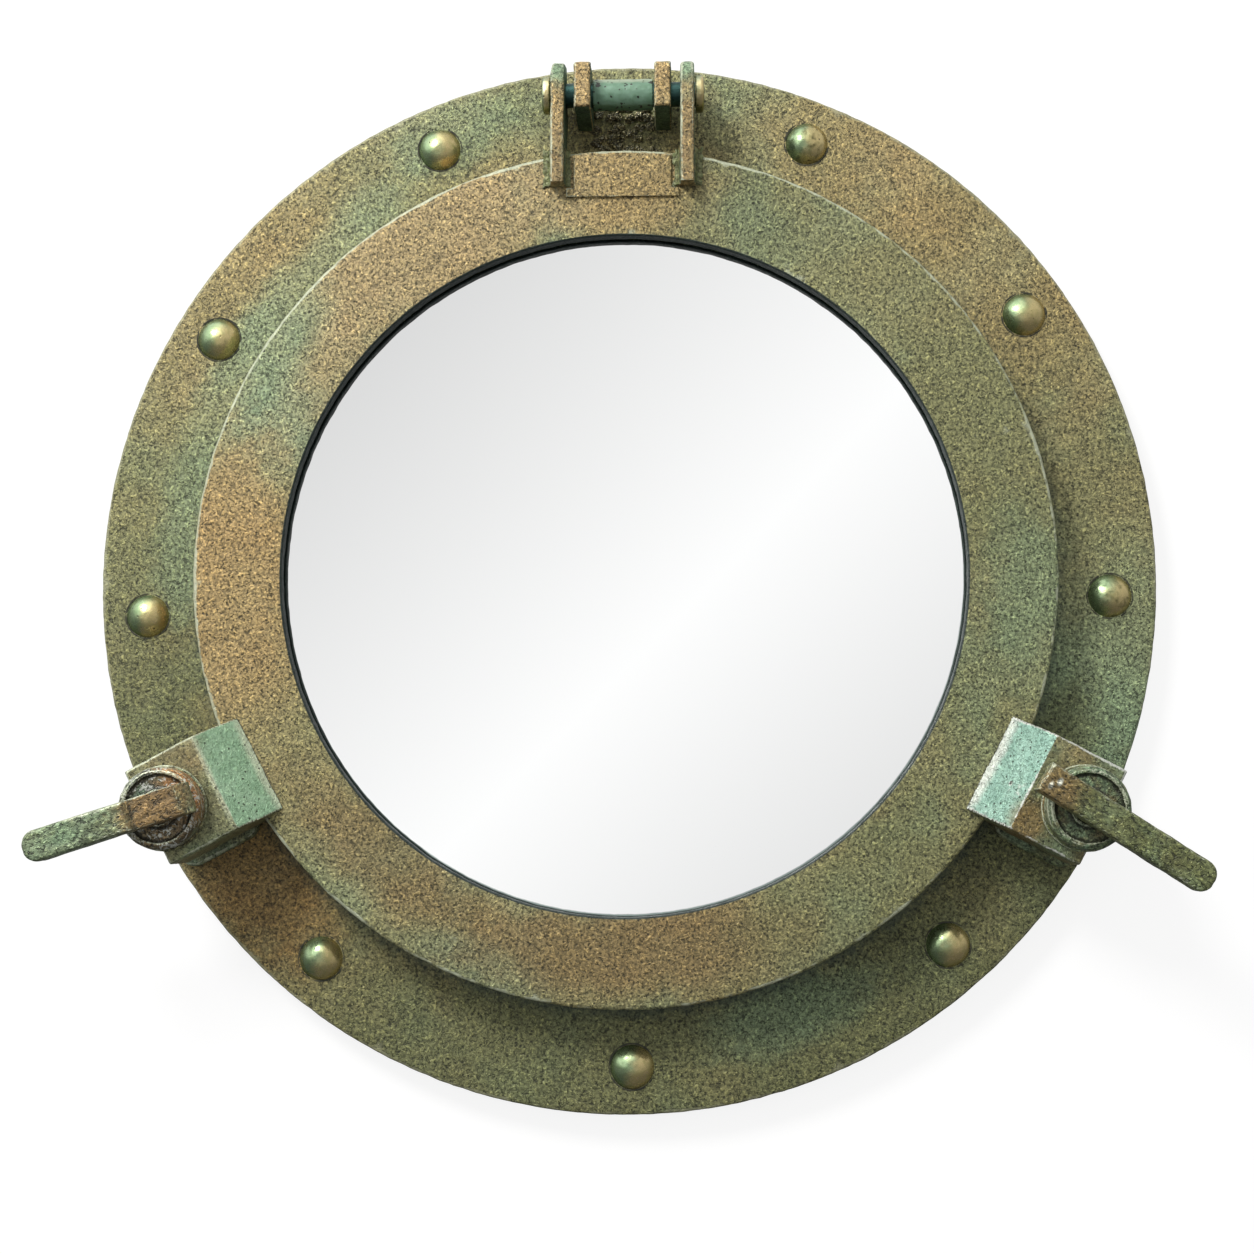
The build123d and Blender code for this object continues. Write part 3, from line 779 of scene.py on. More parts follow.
    left_handle: Casting = Casting(
        "left_handle_patina", low=(0.120, 0.145, 0.075), high=(0.220, 0.290, 0.185), green=MINT,
        greenness=0.4, earth=BROWN, earthiness=0.10, mottle=60.0, shift=25.0, shine=0.44, metal=0.25,
        patches=(Patch(208.0, 0.199, 0.0125, 0.0125, BROWN, 0.95),), streak=bar_way(198.0),
    )
    right_handle: Casting = Casting(
        "right_handle_patina", low=(0.105, 0.115, 0.045), high=(0.165, 0.190, 0.085), green=TEAL,
        greenness=0.25, earth=BROWN, earthiness=0.08, mottle=60.0, shift=27.0, shine=0.44, metal=0.25,
        patches=(Patch(332.0, 0.184, 0.009, 0.008, BROWN, 0.70),
                 Patch(332.7, 0.1840, 0.0012, 0.0008, BONE, 0.95),
                 Patch(331.9, 0.1815, 0.0012, 0.0008, BONE, 0.95)),
        streak=bar_way(327.0),
    )
    boss: Casting = Casting("boss_patina", low=DARK_OLIVE, high=(0.17, 0.22, 0.14), mottle=40.0, shift=28.0)
    rivet: Rubbed = Rubbed("rivet_metal", left=(0.20, 0.27, 0.15), right=(0.56, 0.46, 0.22), rough=0.20)
    pin: Rubbed = Rubbed("pin_metal", left=(0.40, 0.44, 0.28), right=(0.62, 0.50, 0.25), shift=1.5,
                         core=(0.035, 0.085, 0.075), core_half=0.0292)
    sleeve: Rubbed = Rubbed("sleeve_metal", left=(0.12, 0.23, 0.15), right=(0.20, 0.34, 0.24), metal=0.12,
                            rough=0.40, pits=1.0, chips=0.97, shift=2.5)
    stud: Rubbed = Rubbed("stud_metal", left=(0.10, 0.13, 0.10), right=(0.22, 0.18, 0.10), metal=0.6,
                          shift=3.5)
    # Painted glints: the bright high tone, pale specks and gold edges stand in for light catching the lumps.
    braze: Casting = Casting(
        "braze_patina", low=(0.020, 0.022, 0.018), high=(0.50, 0.43, 0.27), green=(0.40, 0.44, 0.38),
        greenness=0.4, mottle=100.0, grain=360.0, shift=29.0, specks_and_glints=0.8, wear=1.0,
        worn_and_lit_tone=GOLD, shine=0.26, metal=0.45,
    )
    # Near black rings round the rivets: partly grime, partly painted shade in the groove.
    ring_soot_and_shade: Plain = Plain("rivet_soot_and_shade", tone=SOOT, second=(0.05, 0.05, 0.03), rough=0.8)
    rubber: Plain = Plain("seal_rubber", tone=(0.012, 0.016, 0.014), second=(0.024, 0.028, 0.026), rough=0.7)
    steel: Plain = Plain("hanger_steel", tone=(0.48, 0.48, 0.46), second=(0.36, 0.36, 0.34), scale=120.0,
                         stretch=14.0, metal=0.9, rough=0.38, bump=0.08)
    board: Plain = Plain("backing_board", tone=(0.26, 0.16, 0.085), second=(0.19, 0.115, 0.06),
                         scale=30.0, stretch=22.0, rough=0.72, bump=0.15)
    mirror: Silvered = Silvered("silvered_glass")


def mark_edges(mesh: bmesh.types.BMesh, full: float = radians(22.0)) -> None:
    """Notes at each point how sharp an outer edge it is on, for wear and a painted edge highlight, or a corner, for
    grime and painted shade.

    Args:
        mesh: The form, changed in place.
        full: The turn between two faces that counts as fully sharp.
    """
    worn = mesh.verts.layers.float.new("wear")
    sooty_and_shaded = mesh.verts.layers.float.new("dirt")
    mesh.normal_update()
    mesh.edges.index_update()
    turns = [edge.calc_face_angle_signed(0.0) for edge in mesh.edges]
    for vert in mesh.verts:
        here = [turns[edge.index] for edge in vert.link_edges]
        if here:
            vert[worn] = min(1.0, max(0.0, max(here) / full))
            vert[sooty_and_shaded] = min(1.0, max(0.0, -min(here) / full))


@dataclass
class Piece:
    """A finished mesh on its way into the scene."""

    name: str
    mesh: bmesh.types.BMesh
    finish: Finish
    body: Body
    slot: str
    stands_for: tuple[str, ...] = ()
    sharp: float = 42.0

    def add(self) -> bpy.types.Object:
        """Makes the object, dresses it and joins it to its body.

        Returns:
            The new object.
        """
        bmesh.ops.recalc_face_normals(self.mesh, faces=self.mesh.faces)
        mark_edges(self.mesh)
        for face in self.mesh.faces:
            face.smooth = True
        limit = radians(self.sharp)
        for edge in self.mesh.edges:
            edge.smooth = len(edge.link_faces) != 2 or edge.calc_face_angle(0.0) < limit
        data = bpy.data.meshes.new(self.name)
        self.mesh.to_mesh(data)
        self.mesh.free()
        made = bpy.data.objects.new(self.name, data)
        bpy.context.scene.collection.objects.link(made)
        data.materials.append(self.finish.material())
        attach(made, self.body.value)
        if self.stands_for:
            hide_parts(*self.stands_for)
        log.info("%s: %d faces on %s", self.name, len(data.polygons), self.body.value)
        return made


def lathe(profile: Profile, centre: Vector, steps: int, axis: Vector = Vector((0, -1, 0))) -> bmesh.types.BMesh:
    """Turns an outline round an axis.

    Args:
        profile: (radius, distance along the axis) points. A closed outline repeats its first point.
        centre: The point on the axis where the distance is 0.
        steps: How many sides the turned form has.
        axis: The axis, towards which distances grow.

    Returns:
        The turned form.
    """
    mesh = bmesh.new()
    outward = axis.orthogonal().normalized()
    closed = profile[0] == profile[-1]
    points = profile[:-1] if closed else profile
    verts = [mesh.verts.new(centre + outward * radius + axis * rise) for radius, rise in points]
    pairs = list(zip(verts, verts[1:]))
    if closed:
        pairs.append((verts[-1], verts[0]))
    edges = [mesh.edges.new(pair) for pair in pairs]
    bmesh.ops.spin(mesh, geom=verts + edges, cent=centre, axis=axis, angle=2 * pi, steps=steps,
                   use_merge=True, use_duplicate=False)
    bmesh.ops.remove_doubles(mesh, verts=mesh.verts, dist=1e-7)
    return mesh


def rounded(profile: Profile, radii: float | tuple[float, ...], segments: int = 4) -> Profile:
    """Rounds the corners of an open or closed outline.

    Args:
        profile: The outline. A closed one repeats its first point.
        radii: The rounding's reach along each side, for all corners or corner by corner.
        segments: How many pieces each corner gets.

    Returns:
        The rounded outline.
    """
    closed = profile[0] == profile[-1]
    points = [Vector((*point, 0.0)) for point in (profile[:-1] if closed else profile)]
    each = radii if isinstance(radii, tuple) else (radii,) * len(points)
    rounded_points: Profile = []
    for n, (here, radius) in enumerate(zip(points, each)):
        inner = closed or 0 < n < len(points) - 1
        if not inner or not radius:
            rounded_points.append((here.x, here.y))
            continue
        before, after = points[n - 1], points[(n + 1) % len(points)]
        reach_in = min(radius, (before - here).length * 0.45)
        reach_out = min(radius, (after - here).length * 0.45)
        start = here + (before - here).normalized() * reach_in
        end = here + (after - here).normalized() * reach_out
        for k in range(segments + 1):
            t = k / segments
            spot = start * (1 - t) ** 2 + here * 2 * t * (1 - t) + end * t**2
            rounded_points.append((spot.x, spot.y))
    if closed:
        rounded_points.append(rounded_points[0])
    return rounded_points


def refined(profile: Profile, length: float) -> Profile:
    """Cuts the long sides of an outline into shorter ones.

    Args:
        profile: The outline.
        length: The longest side that stays whole.

    Returns:
        The outline with more points.
    """
    points: Profile = [profile[0]]
    for (r0, h0), (r1, h1) in zip(profile, profile[1:]):
        cuts = max(1, round(((r1 - r0) ** 2 + (h1 - h0) ** 2) ** 0.5 / length))
        points += [(r0 + (r1 - r0) * k / cuts, h0 + (h1 - h0) * k / cuts) for k in range(1, cuts + 1)]
    return points


def wear_down(mesh: bmesh.types.BMesh, depth: float, scale: float, seed: float, octaves: int = 3,
              way: Vector | None = None, stretch: float = 3.0) -> None:
    """Wears a surface inwards unevenly.

    Args:
        mesh: The form, changed in place.
        depth: The deepest wear.
        scale: Features per metre.
        seed: Moves the pattern.
        octaves: Layers of finer detail.
        way: A direction along which the pattern is drawn out into grooves.
        stretch: How far it is drawn out.
    """
    mesh.normal_update()
    moved = []
    for vert in mesh.verts:
        spot = vert.co + Vector((seed, seed * 0.6, -seed))
        if way:
            spot = spot - way * spot.dot(way) * (1 - 1 / stretch)
        value = noise.fractal(spot * scale, 1.0, 2.0, octaves)
        share = min(1.0, max(0.0, 0.5 + 0.6 * value))
        moved.append(vert.co - vert.normal * depth * share)
    for vert, place in zip(mesh.verts, moved):
        vert.co = place


def merged(first: bmesh.types.BMesh, *others: bmesh.types.BMesh) -> bmesh.types.BMesh:
    """Puts several forms into the first.

    Args:
        first: The form that takes in the others.
        others: Forms that are used up.

    Returns:
        The first form.
    """
    for other in others:
        data = bpy.data.meshes.new("part_of_a_form")
        other.to_mesh(data)
        other.free()
        first.from_mesh(data)
        bpy.data.meshes.remove(data)
    return first


def worn_copy(node: str, cell: float, depth: float, scale: float, seed: float, soften: int = 3,
              way: Vector | None = None) -> bmesh.types.BMesh:
    """A copy of a node's form with rounded edges and an uneven surface.

    Args:
        node: The node's name.
        cell: The size of the copy's faces, in metres.
        depth: The deepest wear.
        scale: Features of the wear per metre.
        seed: Moves the wear's pattern.
        soften: How often the edges are smoothed.
        way: A direction along which the wear is drawn out.

    Returns:
        The worn form.
    """
    start = bmesh.new()
    start.from_mesh(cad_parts[node].data)
    bmesh.ops.remove_doubles(start, verts=start.verts, dist=1e-6)
    data = bpy.data.meshes.new(f"{node}_start")
    start.to_mesh(data)
    start.free()
    holder = bpy.data.objects.new(f"{node}_start", data)
    bpy.context.scene.collection.objects.link(holder)
    remesh = holder.modifiers.new("cells", "REMESH")
    remesh.mode = "VOXEL"
    remesh.voxel_size = cell
    bpy.context.view_layer.update()
    seen = holder.evaluated_get(bpy.context.evaluated_depsgraph_get())
    result = bmesh.new()
    result.from_mesh(seen.to_mesh())
    seen.to_mesh_clear()
    bpy.data.objects.remove(holder)
    bpy.data.meshes.remove(data)
    for _ in range(soften):
        bmesh.ops.smooth_vert(result, verts=result.verts, factor=0.5, use_axis_x=True, use_axis_y=True,
                              use_axis_z=True)
    wear_down(result, depth, scale, seed, way=way)
    return result


def dress(node: str, finish: Finish) -> None:
    """Gives a node's own mesh a finish.

    Args:
        node: The node's name.
        finish: The finish.
    """
    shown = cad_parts[node]
    material = finish.material()
    if not shown.material_slots:
        shown.data.materials.append(material)
    for place in shown.material_slots:
        place.material = material
    log.info("%s: dressed in %s", node, finish.name)


def middle_of(node: str) -> Vector:
    """The centre of a node's box."""
    low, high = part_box(node)
    return (Vector(low) + Vector(high)) / 2


@dataclass
class Flange:
    """The wall flange with its rivets, seal and hanger."""

    palette: Palette
    opening_radius: float = 0.140
    wall: float = 0.0042
    rim: float = 0.006
    edge_round: float = 0.0018
    sides: int = 720
    rivet_radius: float = 0.009
    rivet_rise: float = 0.0056
    spot_depth: float = 0.0005
    rivet_shank: float = 0.004
    tail_radius: float = 0.0065
    tail_height: float = 0.002
    post_radius: float = 0.0055
    centre: Vector = field(default_factory=lambda: middle_of("wall_flange"))

    def build(self) -> None:
        """Builds every piece of the flange."""
        self.casting()
        self.rivets()
        self.bosses()
        for node in ("wall_hanger", "hanger_screws"):
            dress(node, self.palette.steel)
        dress("seal_gasket", self.palette.rubber)

    @property
    def face(self) -> Vector:
        """The centre of the flange's front face."""
        low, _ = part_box("wall_flange")
        return Vector((self.centre.x, low[1], self.centre.z))

    def casting(self) -> None:
        """The dished disc, with its rim and the posts for the hanger."""
        low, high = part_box("wall_flange")
        radius = (high[2] - low[2]) / 2
        back = low[1] - high[1]
        floor = -self.wall
        outline = [
            (self.opening_radius, 0.0), (radius, 0.0), (radius, back), (radius - self.rim, back),
            (radius - self.rim, floor), (self.opening_radius + self.rim, floor),
            (self.opening_radius + self.rim, back), (self.opening_radius, back),
            (self.opening_radius, 0.0),
        ]
        shape = refined(rounded(outline, self.edge_round), 0.0048)
        disc = lathe(shape, self.face, self.sides)
        wear_down(disc, 0.00034, 210.0, 1.0, 2)
        posts = [self.post(side) for side in (-1, 1)]
        piece = Piece("flange_casting", merged(disc, *posts), self.palette.flange, Body.FLANGE,
                      "flange_casting", ("wall_flange",))
        piece.add()

    def post(self, side: int) -> bmesh.types.BMesh:
        """One post between the flange's floor and the hanger strap."""
        low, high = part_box("hanger_screws")
        strap_low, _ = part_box("wall_hanger")
        screw_radius = (high[2] - low[2]) / 2
        middle = Vector(((high[0] - screw_radius) * side, strap_low[1], middle_of("hanger_screws").z))
        length = middle.y - (self.face.y + self.wall * 0.8)
        outline = [(0.0, length), (self.post_radius, length), (self.post_radius, 0.0), (0.0, 0.0)]
        return lathe(outline, middle, 40)

    def rivet_spots(self) -> list[Vector]:
        """The centres of the rivets' heads, on the flange's face."""
        loose = bmesh.new()
        loose.from_mesh(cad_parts["flange_rivets"].data)
        bmesh.ops.remove_doubles(loose, verts=loose.verts, dist=1e-6)
        spots: list[Vector] = []
        left = set(loose.verts)
        while left:
            island, edge_of_island = set(), [next(iter(left))]
            while edge_of_island:
                vert = edge_of_island.pop()
                if vert in island:
                    continue
                island.add(vert)
                edge_of_island += [link.other_vert(vert) for link in vert.link_edges]
            left -= island
            xs = [vert.co.x for vert in island]
            zs = [vert.co.z for vert in island]
            spots.append(Vector(((min(xs) + max(xs)) / 2, self.face.y, (min(zs) + max(zs)) / 2)))
        loose.free()
        return sorted(spots, key=lambda spot: (round(spot.x, 4), round(spot.z, 4)))

    def rivets(self) -> None:
        """The domed rivets with their tails, and a dark ring round each, partly grime and partly painted shade in
        the groove round the head.
        """
        sphere = (self.rivet_radius**2 + self.rivet_rise**2) / (2 * self.rivet_rise)
        base = -self.spot_depth
        dome = []
        steps = 12
        for n in range(steps + 1):
            radius = self.rivet_radius * sin(pi / 2 * n / steps)
            rise = (sphere**2 - radius**2) ** 0.5 - (sphere - self.rivet_rise)
            dome.append((radius, base + max(rise, 0.0)))
        tail = -self.wall - self.tail_height
        outline = dome + [
            (self.rivet_shank, base), (self.rivet_shank, -self.wall), (self.tail_radius, -self.wall),
            (self.tail_radius * 0.86, tail), (0.0, tail),
        ]
        # Thin dark ring round each head: partly grime, partly painted shade in the groove round it.
        ring_soot_and_shade_outline = [
            (self.rivet_radius * 0.97, -0.00002), (self.rivet_radius * 1.01, 0.00010),
            (self.rivet_radius * 1.05, 0.00006), (self.rivet_radius * 1.08, -0.0004),
        ]
        heads, dirt = [], []
        for n, spot in enumerate(self.rivet_spots()):
            head = lathe(outline, spot, 48)
            wear_down(head, 0.00022, 170.0, 3.0 + n)
            heads.append(head)
            ring = lathe(ring_soot_and_shade_outline, spot, 72)
            wear_down(ring, 0.00040, 300.0, 8.0 + n)
            dirt.append(ring)
        Piece("dome_rivets", merged(*heads), self.palette.rivet, Body.FLANGE, "rivet_metal",
              ("flange_rivets",)).add()
        Piece("rivet_soot_and_shade", merged(*dirt), self.palette.ring_soot_and_shade, Body.FLANGE, "flange_casting").add()

    def bosses(self) -> None:
        """The pads that take the dogs' studs."""
        for n, side in enumerate(Side):
            node = f"{side.word}_dog_boss"
            form = worn_copy(node, 0.0006, 0.0003, 130.0, 31.0 + n)
            Piece(f"{side.word}_stud_boss", form, self.palette.boss, Body.FLANGE, "flange_casting",
                  (node,)).add()


@dataclass
class Hinge:
    """The lugs, pin, sleeve and braze at the top."""

    palette: Palette
    cell: float = 0.00045
    outer_thickness: float = 0.006
    weld_leg: float = 0.003
    weld_lumps: float = 0.0011
    weld_height: float = 0.55
    braze_spill: float = 0.004

    def build(self) -> None:
        """Builds every piece of the hinge."""
        for n, side in enumerate(Side):
            inner = f"inner_hinge_lug_{side.word}"
            form = worn_copy(inner, self.cell, 0.00045, 190.0, 41.0 + n)
            Piece(f"inner_lug_{side.word}", form, self.palette.inner_lug, Body.FLANGE, "lug_casting",
                  (inner,)).add()
            outer = f"outer_hinge_lug_{side.word}"
            form = worn_copy(outer, self.cell, 0.00045, 190.0, 47.0 + n)
            self.lump_weld(form, middle_of(outer).x)
            Piece(f"outer_lug_{side.word}", form, self.palette.lug_front, Body.RING, "lug_casting",
                  (outer,)).add()
        pin = worn_copy("hinge_pin", self.cell, 0.00018, 260.0, 51.0)
        Piece("pin_with_head", pin, self.palette.pin, Body.FLANGE, "pin_metal", ("hinge_pin",)).add()
        cap = worn_copy("hinge_pin_cap", self.cell * 0.7, 0.00018, 260.0, 52.0)
        Piece("pin_button", cap, self.palette.pin, Body.FLANGE, "pin_metal", ("hinge_pin_cap",)).add()
        sleeve = worn_copy("hinge_sleeve", self.cell * 0.8, 0.00020, 260.0, 53.0)
        Piece("chipped_sleeve", sleeve, self.palette.sleeve, Body.FLANGE, "sleeve_metal",
              ("hinge_sleeve",)).add()
        self.land()
        self.braze()

    def lump_weld(self, lug: bmesh.types.BMesh, centre_x: float) -> None:
        """Makes the weld at a lug's foot lumpy, and marks it.

        Args:
            lug: The lug's form, changed in place.
            centre_x: The middle of the lug's thickness.
        """
        weld = lug.verts.layers.float.new("weld")
        ring_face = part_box("window_ring")[0][1]
        lug.normal_update()
        for vert in lug.verts:
            over = abs(vert.co.x - centre_x) - self.outer_thickness / 2
            share = min(1.0, max(0.0, over / self.weld_leg * 2.0))
            vert[weld] = share
            lump = noise.noise(vert.co * 420.0) + 0.5 * noise.noise(vert.co * 900.0)
            vert.co -= vert.normal * self.weld_lumps * share * (0.7 + lump)
            if share and vert.co.y < ring_face:
                vert.co.y = ring_face + (vert.co.y - ring_face) * (1 - share * (1 - self.weld_height))

    def land(self) -> None:
        """The raised plate on the ring between the outer lugs."""
        plate = worn_copy("hinge_land", 0.0004, 0.0003, 150.0, 54.0, 2)
        Piece("lug_land", plate, self.palette.ring, Body.RING, "lug_casting", ("hinge_land",)).add()

    def braze(self) -> None:
        """The lumps of braze between the inner lugs."""
        low, high = (list(corner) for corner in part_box("hinge_braze_pad"))
        low[2] -= self.braze_spill
        high[2] += self.braze_spill / 2
        lumps = []
        count_x, count_z = 6, 5
        for n in range(count_x * count_z):
            column, row = n % count_x, n // count_x
            wobble = noise.noise_vector(Vector((n * 3.7, 1.3, n * 1.9)))
            x = low[0] + (high[0] - low[0]) * (column + 0.5 + wobble.x * 0.8) / count_x
            z = low[2] + (high[2] - low[2]) * (row + 0.5 + wobble.z * 0.8) / count_z
            size = 0.0030 + 0.0014 * wobble.y
            lump = bmesh.new()
            bmesh.ops.create_icosphere(lump, subdivisions=5, radius=size)
            squeeze = Vector((1.0, 0.70, 0.8))
            bmesh.ops.scale(lump, vec=squeeze, verts=lump.verts)
            bmesh.ops.translate(lump, vec=Vector((x, high[1] - 0.0004, z)), verts=lump.verts)
            wear_down(lump, 0.0016, 480.0, 60.0 + n)
            lumps.append(lump)
        Piece("braze_lumps", merged(*lumps), self.palette.braze, Body.FLANGE, "braze",
              ("hinge_braze_pad",)).add()


@dataclass
class MirrorRing:
    """The hinged ring with its glazing and clamp blocks."""

    palette: Palette
    hole_radius: float = 0.136
    rebate_radius: float = 0.146
    lip: float = 0.006
    front_wall: float = 0.005
    outer_wall: float = 0.004
    web: float = 0.003
    outer_round: float = 0.0020
    hole_round: float = 0.0011
    sides: int = 720

    def build(self) -> None:
        """Builds every piece of the ring."""
        self.casting()
        self.blocks()
        dress("mirror_glass", self.palette.mirror)
        dress("glazing_gasket", self.palette.rubber)
        dress("backing_board", self.palette.board)
        for node in ("retaining_clips", "clip_screws"):
            dress(node, self.palette.steel)

    def casting(self) -> None:
        """The hollow-backed ring, notched and posted for its clips."""
        low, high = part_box("window_ring")
        middle = middle_of("window_ring")
        radius = (high[0] - low[0]) / 2
        front = Vector((middle.x, low[1], middle.z))
        back = low[1] - high[1]
        hollow_inner = self.rebate_radius + self.web
        hollow_outer = radius - self.outer_wall
        outline = [
            (self.hole_radius, 0.0), (radius, 0.0), (radius, back), (hollow_outer, back),
            (hollow_outer, -self.front_wall), (hollow_inner, -self.front_wall), (hollow_inner, back),
            (self.rebate_radius, back), (self.rebate_radius, -self.lip), (self.hole_radius, -self.lip),
            (self.hole_radius, 0.0),
        ]
        small = self.hole_round
        reaches = (small, self.outer_round, *(small,) * (len(outline) - 3))
        soft = rounded(outline, reaches, 5)
        ring = lathe(refined(soft, 0.0042), front, self.sides)
        wear_down(ring, 0.00034, 190.0, 12.0, 2)
        made = Piece("ring_casting", merged(ring, *self.posts(front)), self.palette.ring, Body.RING,
                     "ring_casting", ("window_ring",)).add()
        self.notch(made, front, back)

    def clip_spots(self) -> list[tuple[float, float]]:
        """The angle of each clip and the radius of its screw."""
        low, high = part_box("clip_screws")
        head = 0.0036
        reach = ((high[0] - low[0]) / 2 - head) * 2**0.5
        return [(45.0 + 90.0 * n, reach) for n in range(4)]

    def posts(self, front: Vector) -> list[bmesh.types.BMesh]:
        """The posts in the hollow back that take the clips' screws."""
        clip_low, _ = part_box("retaining_clips")
        depth = front.y - clip_low[1]
        made = []
        for angle, reach in self.clip_spots():
            turn = radians(angle)
            spot = front + Vector((reach * cos(turn), 0.0, reach * sin(turn)))
            outline = [(0.0, -self.front_wall * 0.9), (0.0045, -self.front_wall * 0.9), (0.0045, depth),
                       (0.0, depth)]
            made.append(lathe(outline, spot, 36))
        return made

    def notch(self, ring: bpy.types.Object, front: Vector, back: float) -> None:
        """Cuts the notches that let the clips through the web.

        Args:
            ring: The ring's object.
            front: The centre of the ring's front face.
            back: The height of its back edge.
        """
        clip_low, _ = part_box("retaining_clips")
        depth = front.y - clip_low[1]
        cutter = bmesh.new()
        reach_in, reach_out = self.rebate_radius - 0.001, self.rebate_radius + self.web + 0.0028
        for angle, _ in self.clip_spots():
            size = Vector((reach_out - reach_in, (depth - back) + 0.002, 0.0126))
            place = Vector(((reach_out + reach_in) / 2, -(depth + back - 0.002) / 2, 0.0))
            turned = Matrix.Translation(front) @ Matrix.Rotation(-radians(angle), 4, "Y")
            matrix = turned @ Matrix.Translation(place) @ Matrix.Diagonal((*size, 1.0))
            bmesh.ops.create_cube(cutter, size=1.0, matrix=matrix)
        data = bpy.data.meshes.new("clip_notches")
        cutter.to_mesh(data)
        cutter.free()
        holder = bpy.data.objects.new("clip_notches", data)
        bpy.context.scene.collection.objects.link(holder)
        cut = ring.modifiers.new("notches", "BOOLEAN")
        cut.operation = "DIFFERENCE"
        cut.solver = "EXACT"
        cut.object = holder
        bpy.context.view_layer.update()
        seen = ring.evaluated_get(bpy.context.evaluated_depsgraph_get())
        result = bpy.data.meshes.new_from_object(seen)
        ring.modifiers.remove(cut)
        old = ring.data
        ring.data = result
        result.name = old.name
        bpy.data.meshes.remove(old)
        bpy.data.objects.remove(holder)
        bpy.data.meshes.remove(data)

    def blocks(self) -> None:
        """The clamp blocks with their wedge fronts."""
        tones = {Side.LEFT: self.palette.left_block, Side.RIGHT: self.palette.right_block}
        for n, side in enumerate(Side):
            node = f"{side.word}_clamp_block"
            form = worn_copy(node, 0.0006, 0.00035, 140.0, 71.0 + n)
            Piece(f"{side.word}_wedge_block", form, tones[side], Body.RING, "clamp_casting", (node,)).add()


HANDLE_ANGLES: dict[Side, float] = {Side.LEFT: 198.0, Side.RIGHT: 327.0}


@dataclass
class Dog:
    """One clamping dog: stud, collar, washer, knob and handle."""

    palette: Palette
    side: Side
    cell: float = 0.00045

    def build(self) -> None:
        """Builds every piece of the dog."""
        left = self.side is Side.LEFT
        knob_tone = self.palette.left_knob if left else self.palette.right_knob
        handle_tone = self.palette.left_handle if left else self.palette.right_handle
        seed = 81.0 if left else 91.0
        self.piece("knob", "dog_knob", knob_tone, 0.00035, 300.0, seed)
        turn = radians(HANDLE_ANGLES[self.side])
        way = Vector((cos(turn), 0.0, sin(turn)))
        self.piece("handle", "dog_handle", handle_tone, 0.00038, 300.0, seed + 2, way)
        self.piece("washer", "dog_washer", handle_tone, 0.0002, 200.0, seed + 4)
        for part in ("stud", "collar"):
            dress(f"{self.side.word}_dog_{part}", self.palette.stud)

    def piece(self, name: str, part: str, finish: Finish, depth: float, scale: float, seed: float,
              way: Vector | None = None) -> None:
        """Makes one worn piece of the dog.

        Args:
            name: The piece's name without its side.
            part: The node's name without its side.
            finish: The piece's finish.
            depth: The deepest wear.
            scale: Features of the wear per metre.
            seed: Moves the wear's pattern.
            way: A direction along which the wear is drawn out.
        """
        node = f"{self.side.word}_{part}"
        form = worn_copy(node, self.cell, depth, scale, seed, way=way)
        Piece(f"{self.side.word}_{name}", form, finish, self.side.dog, "dog_casting", (node,)).add()


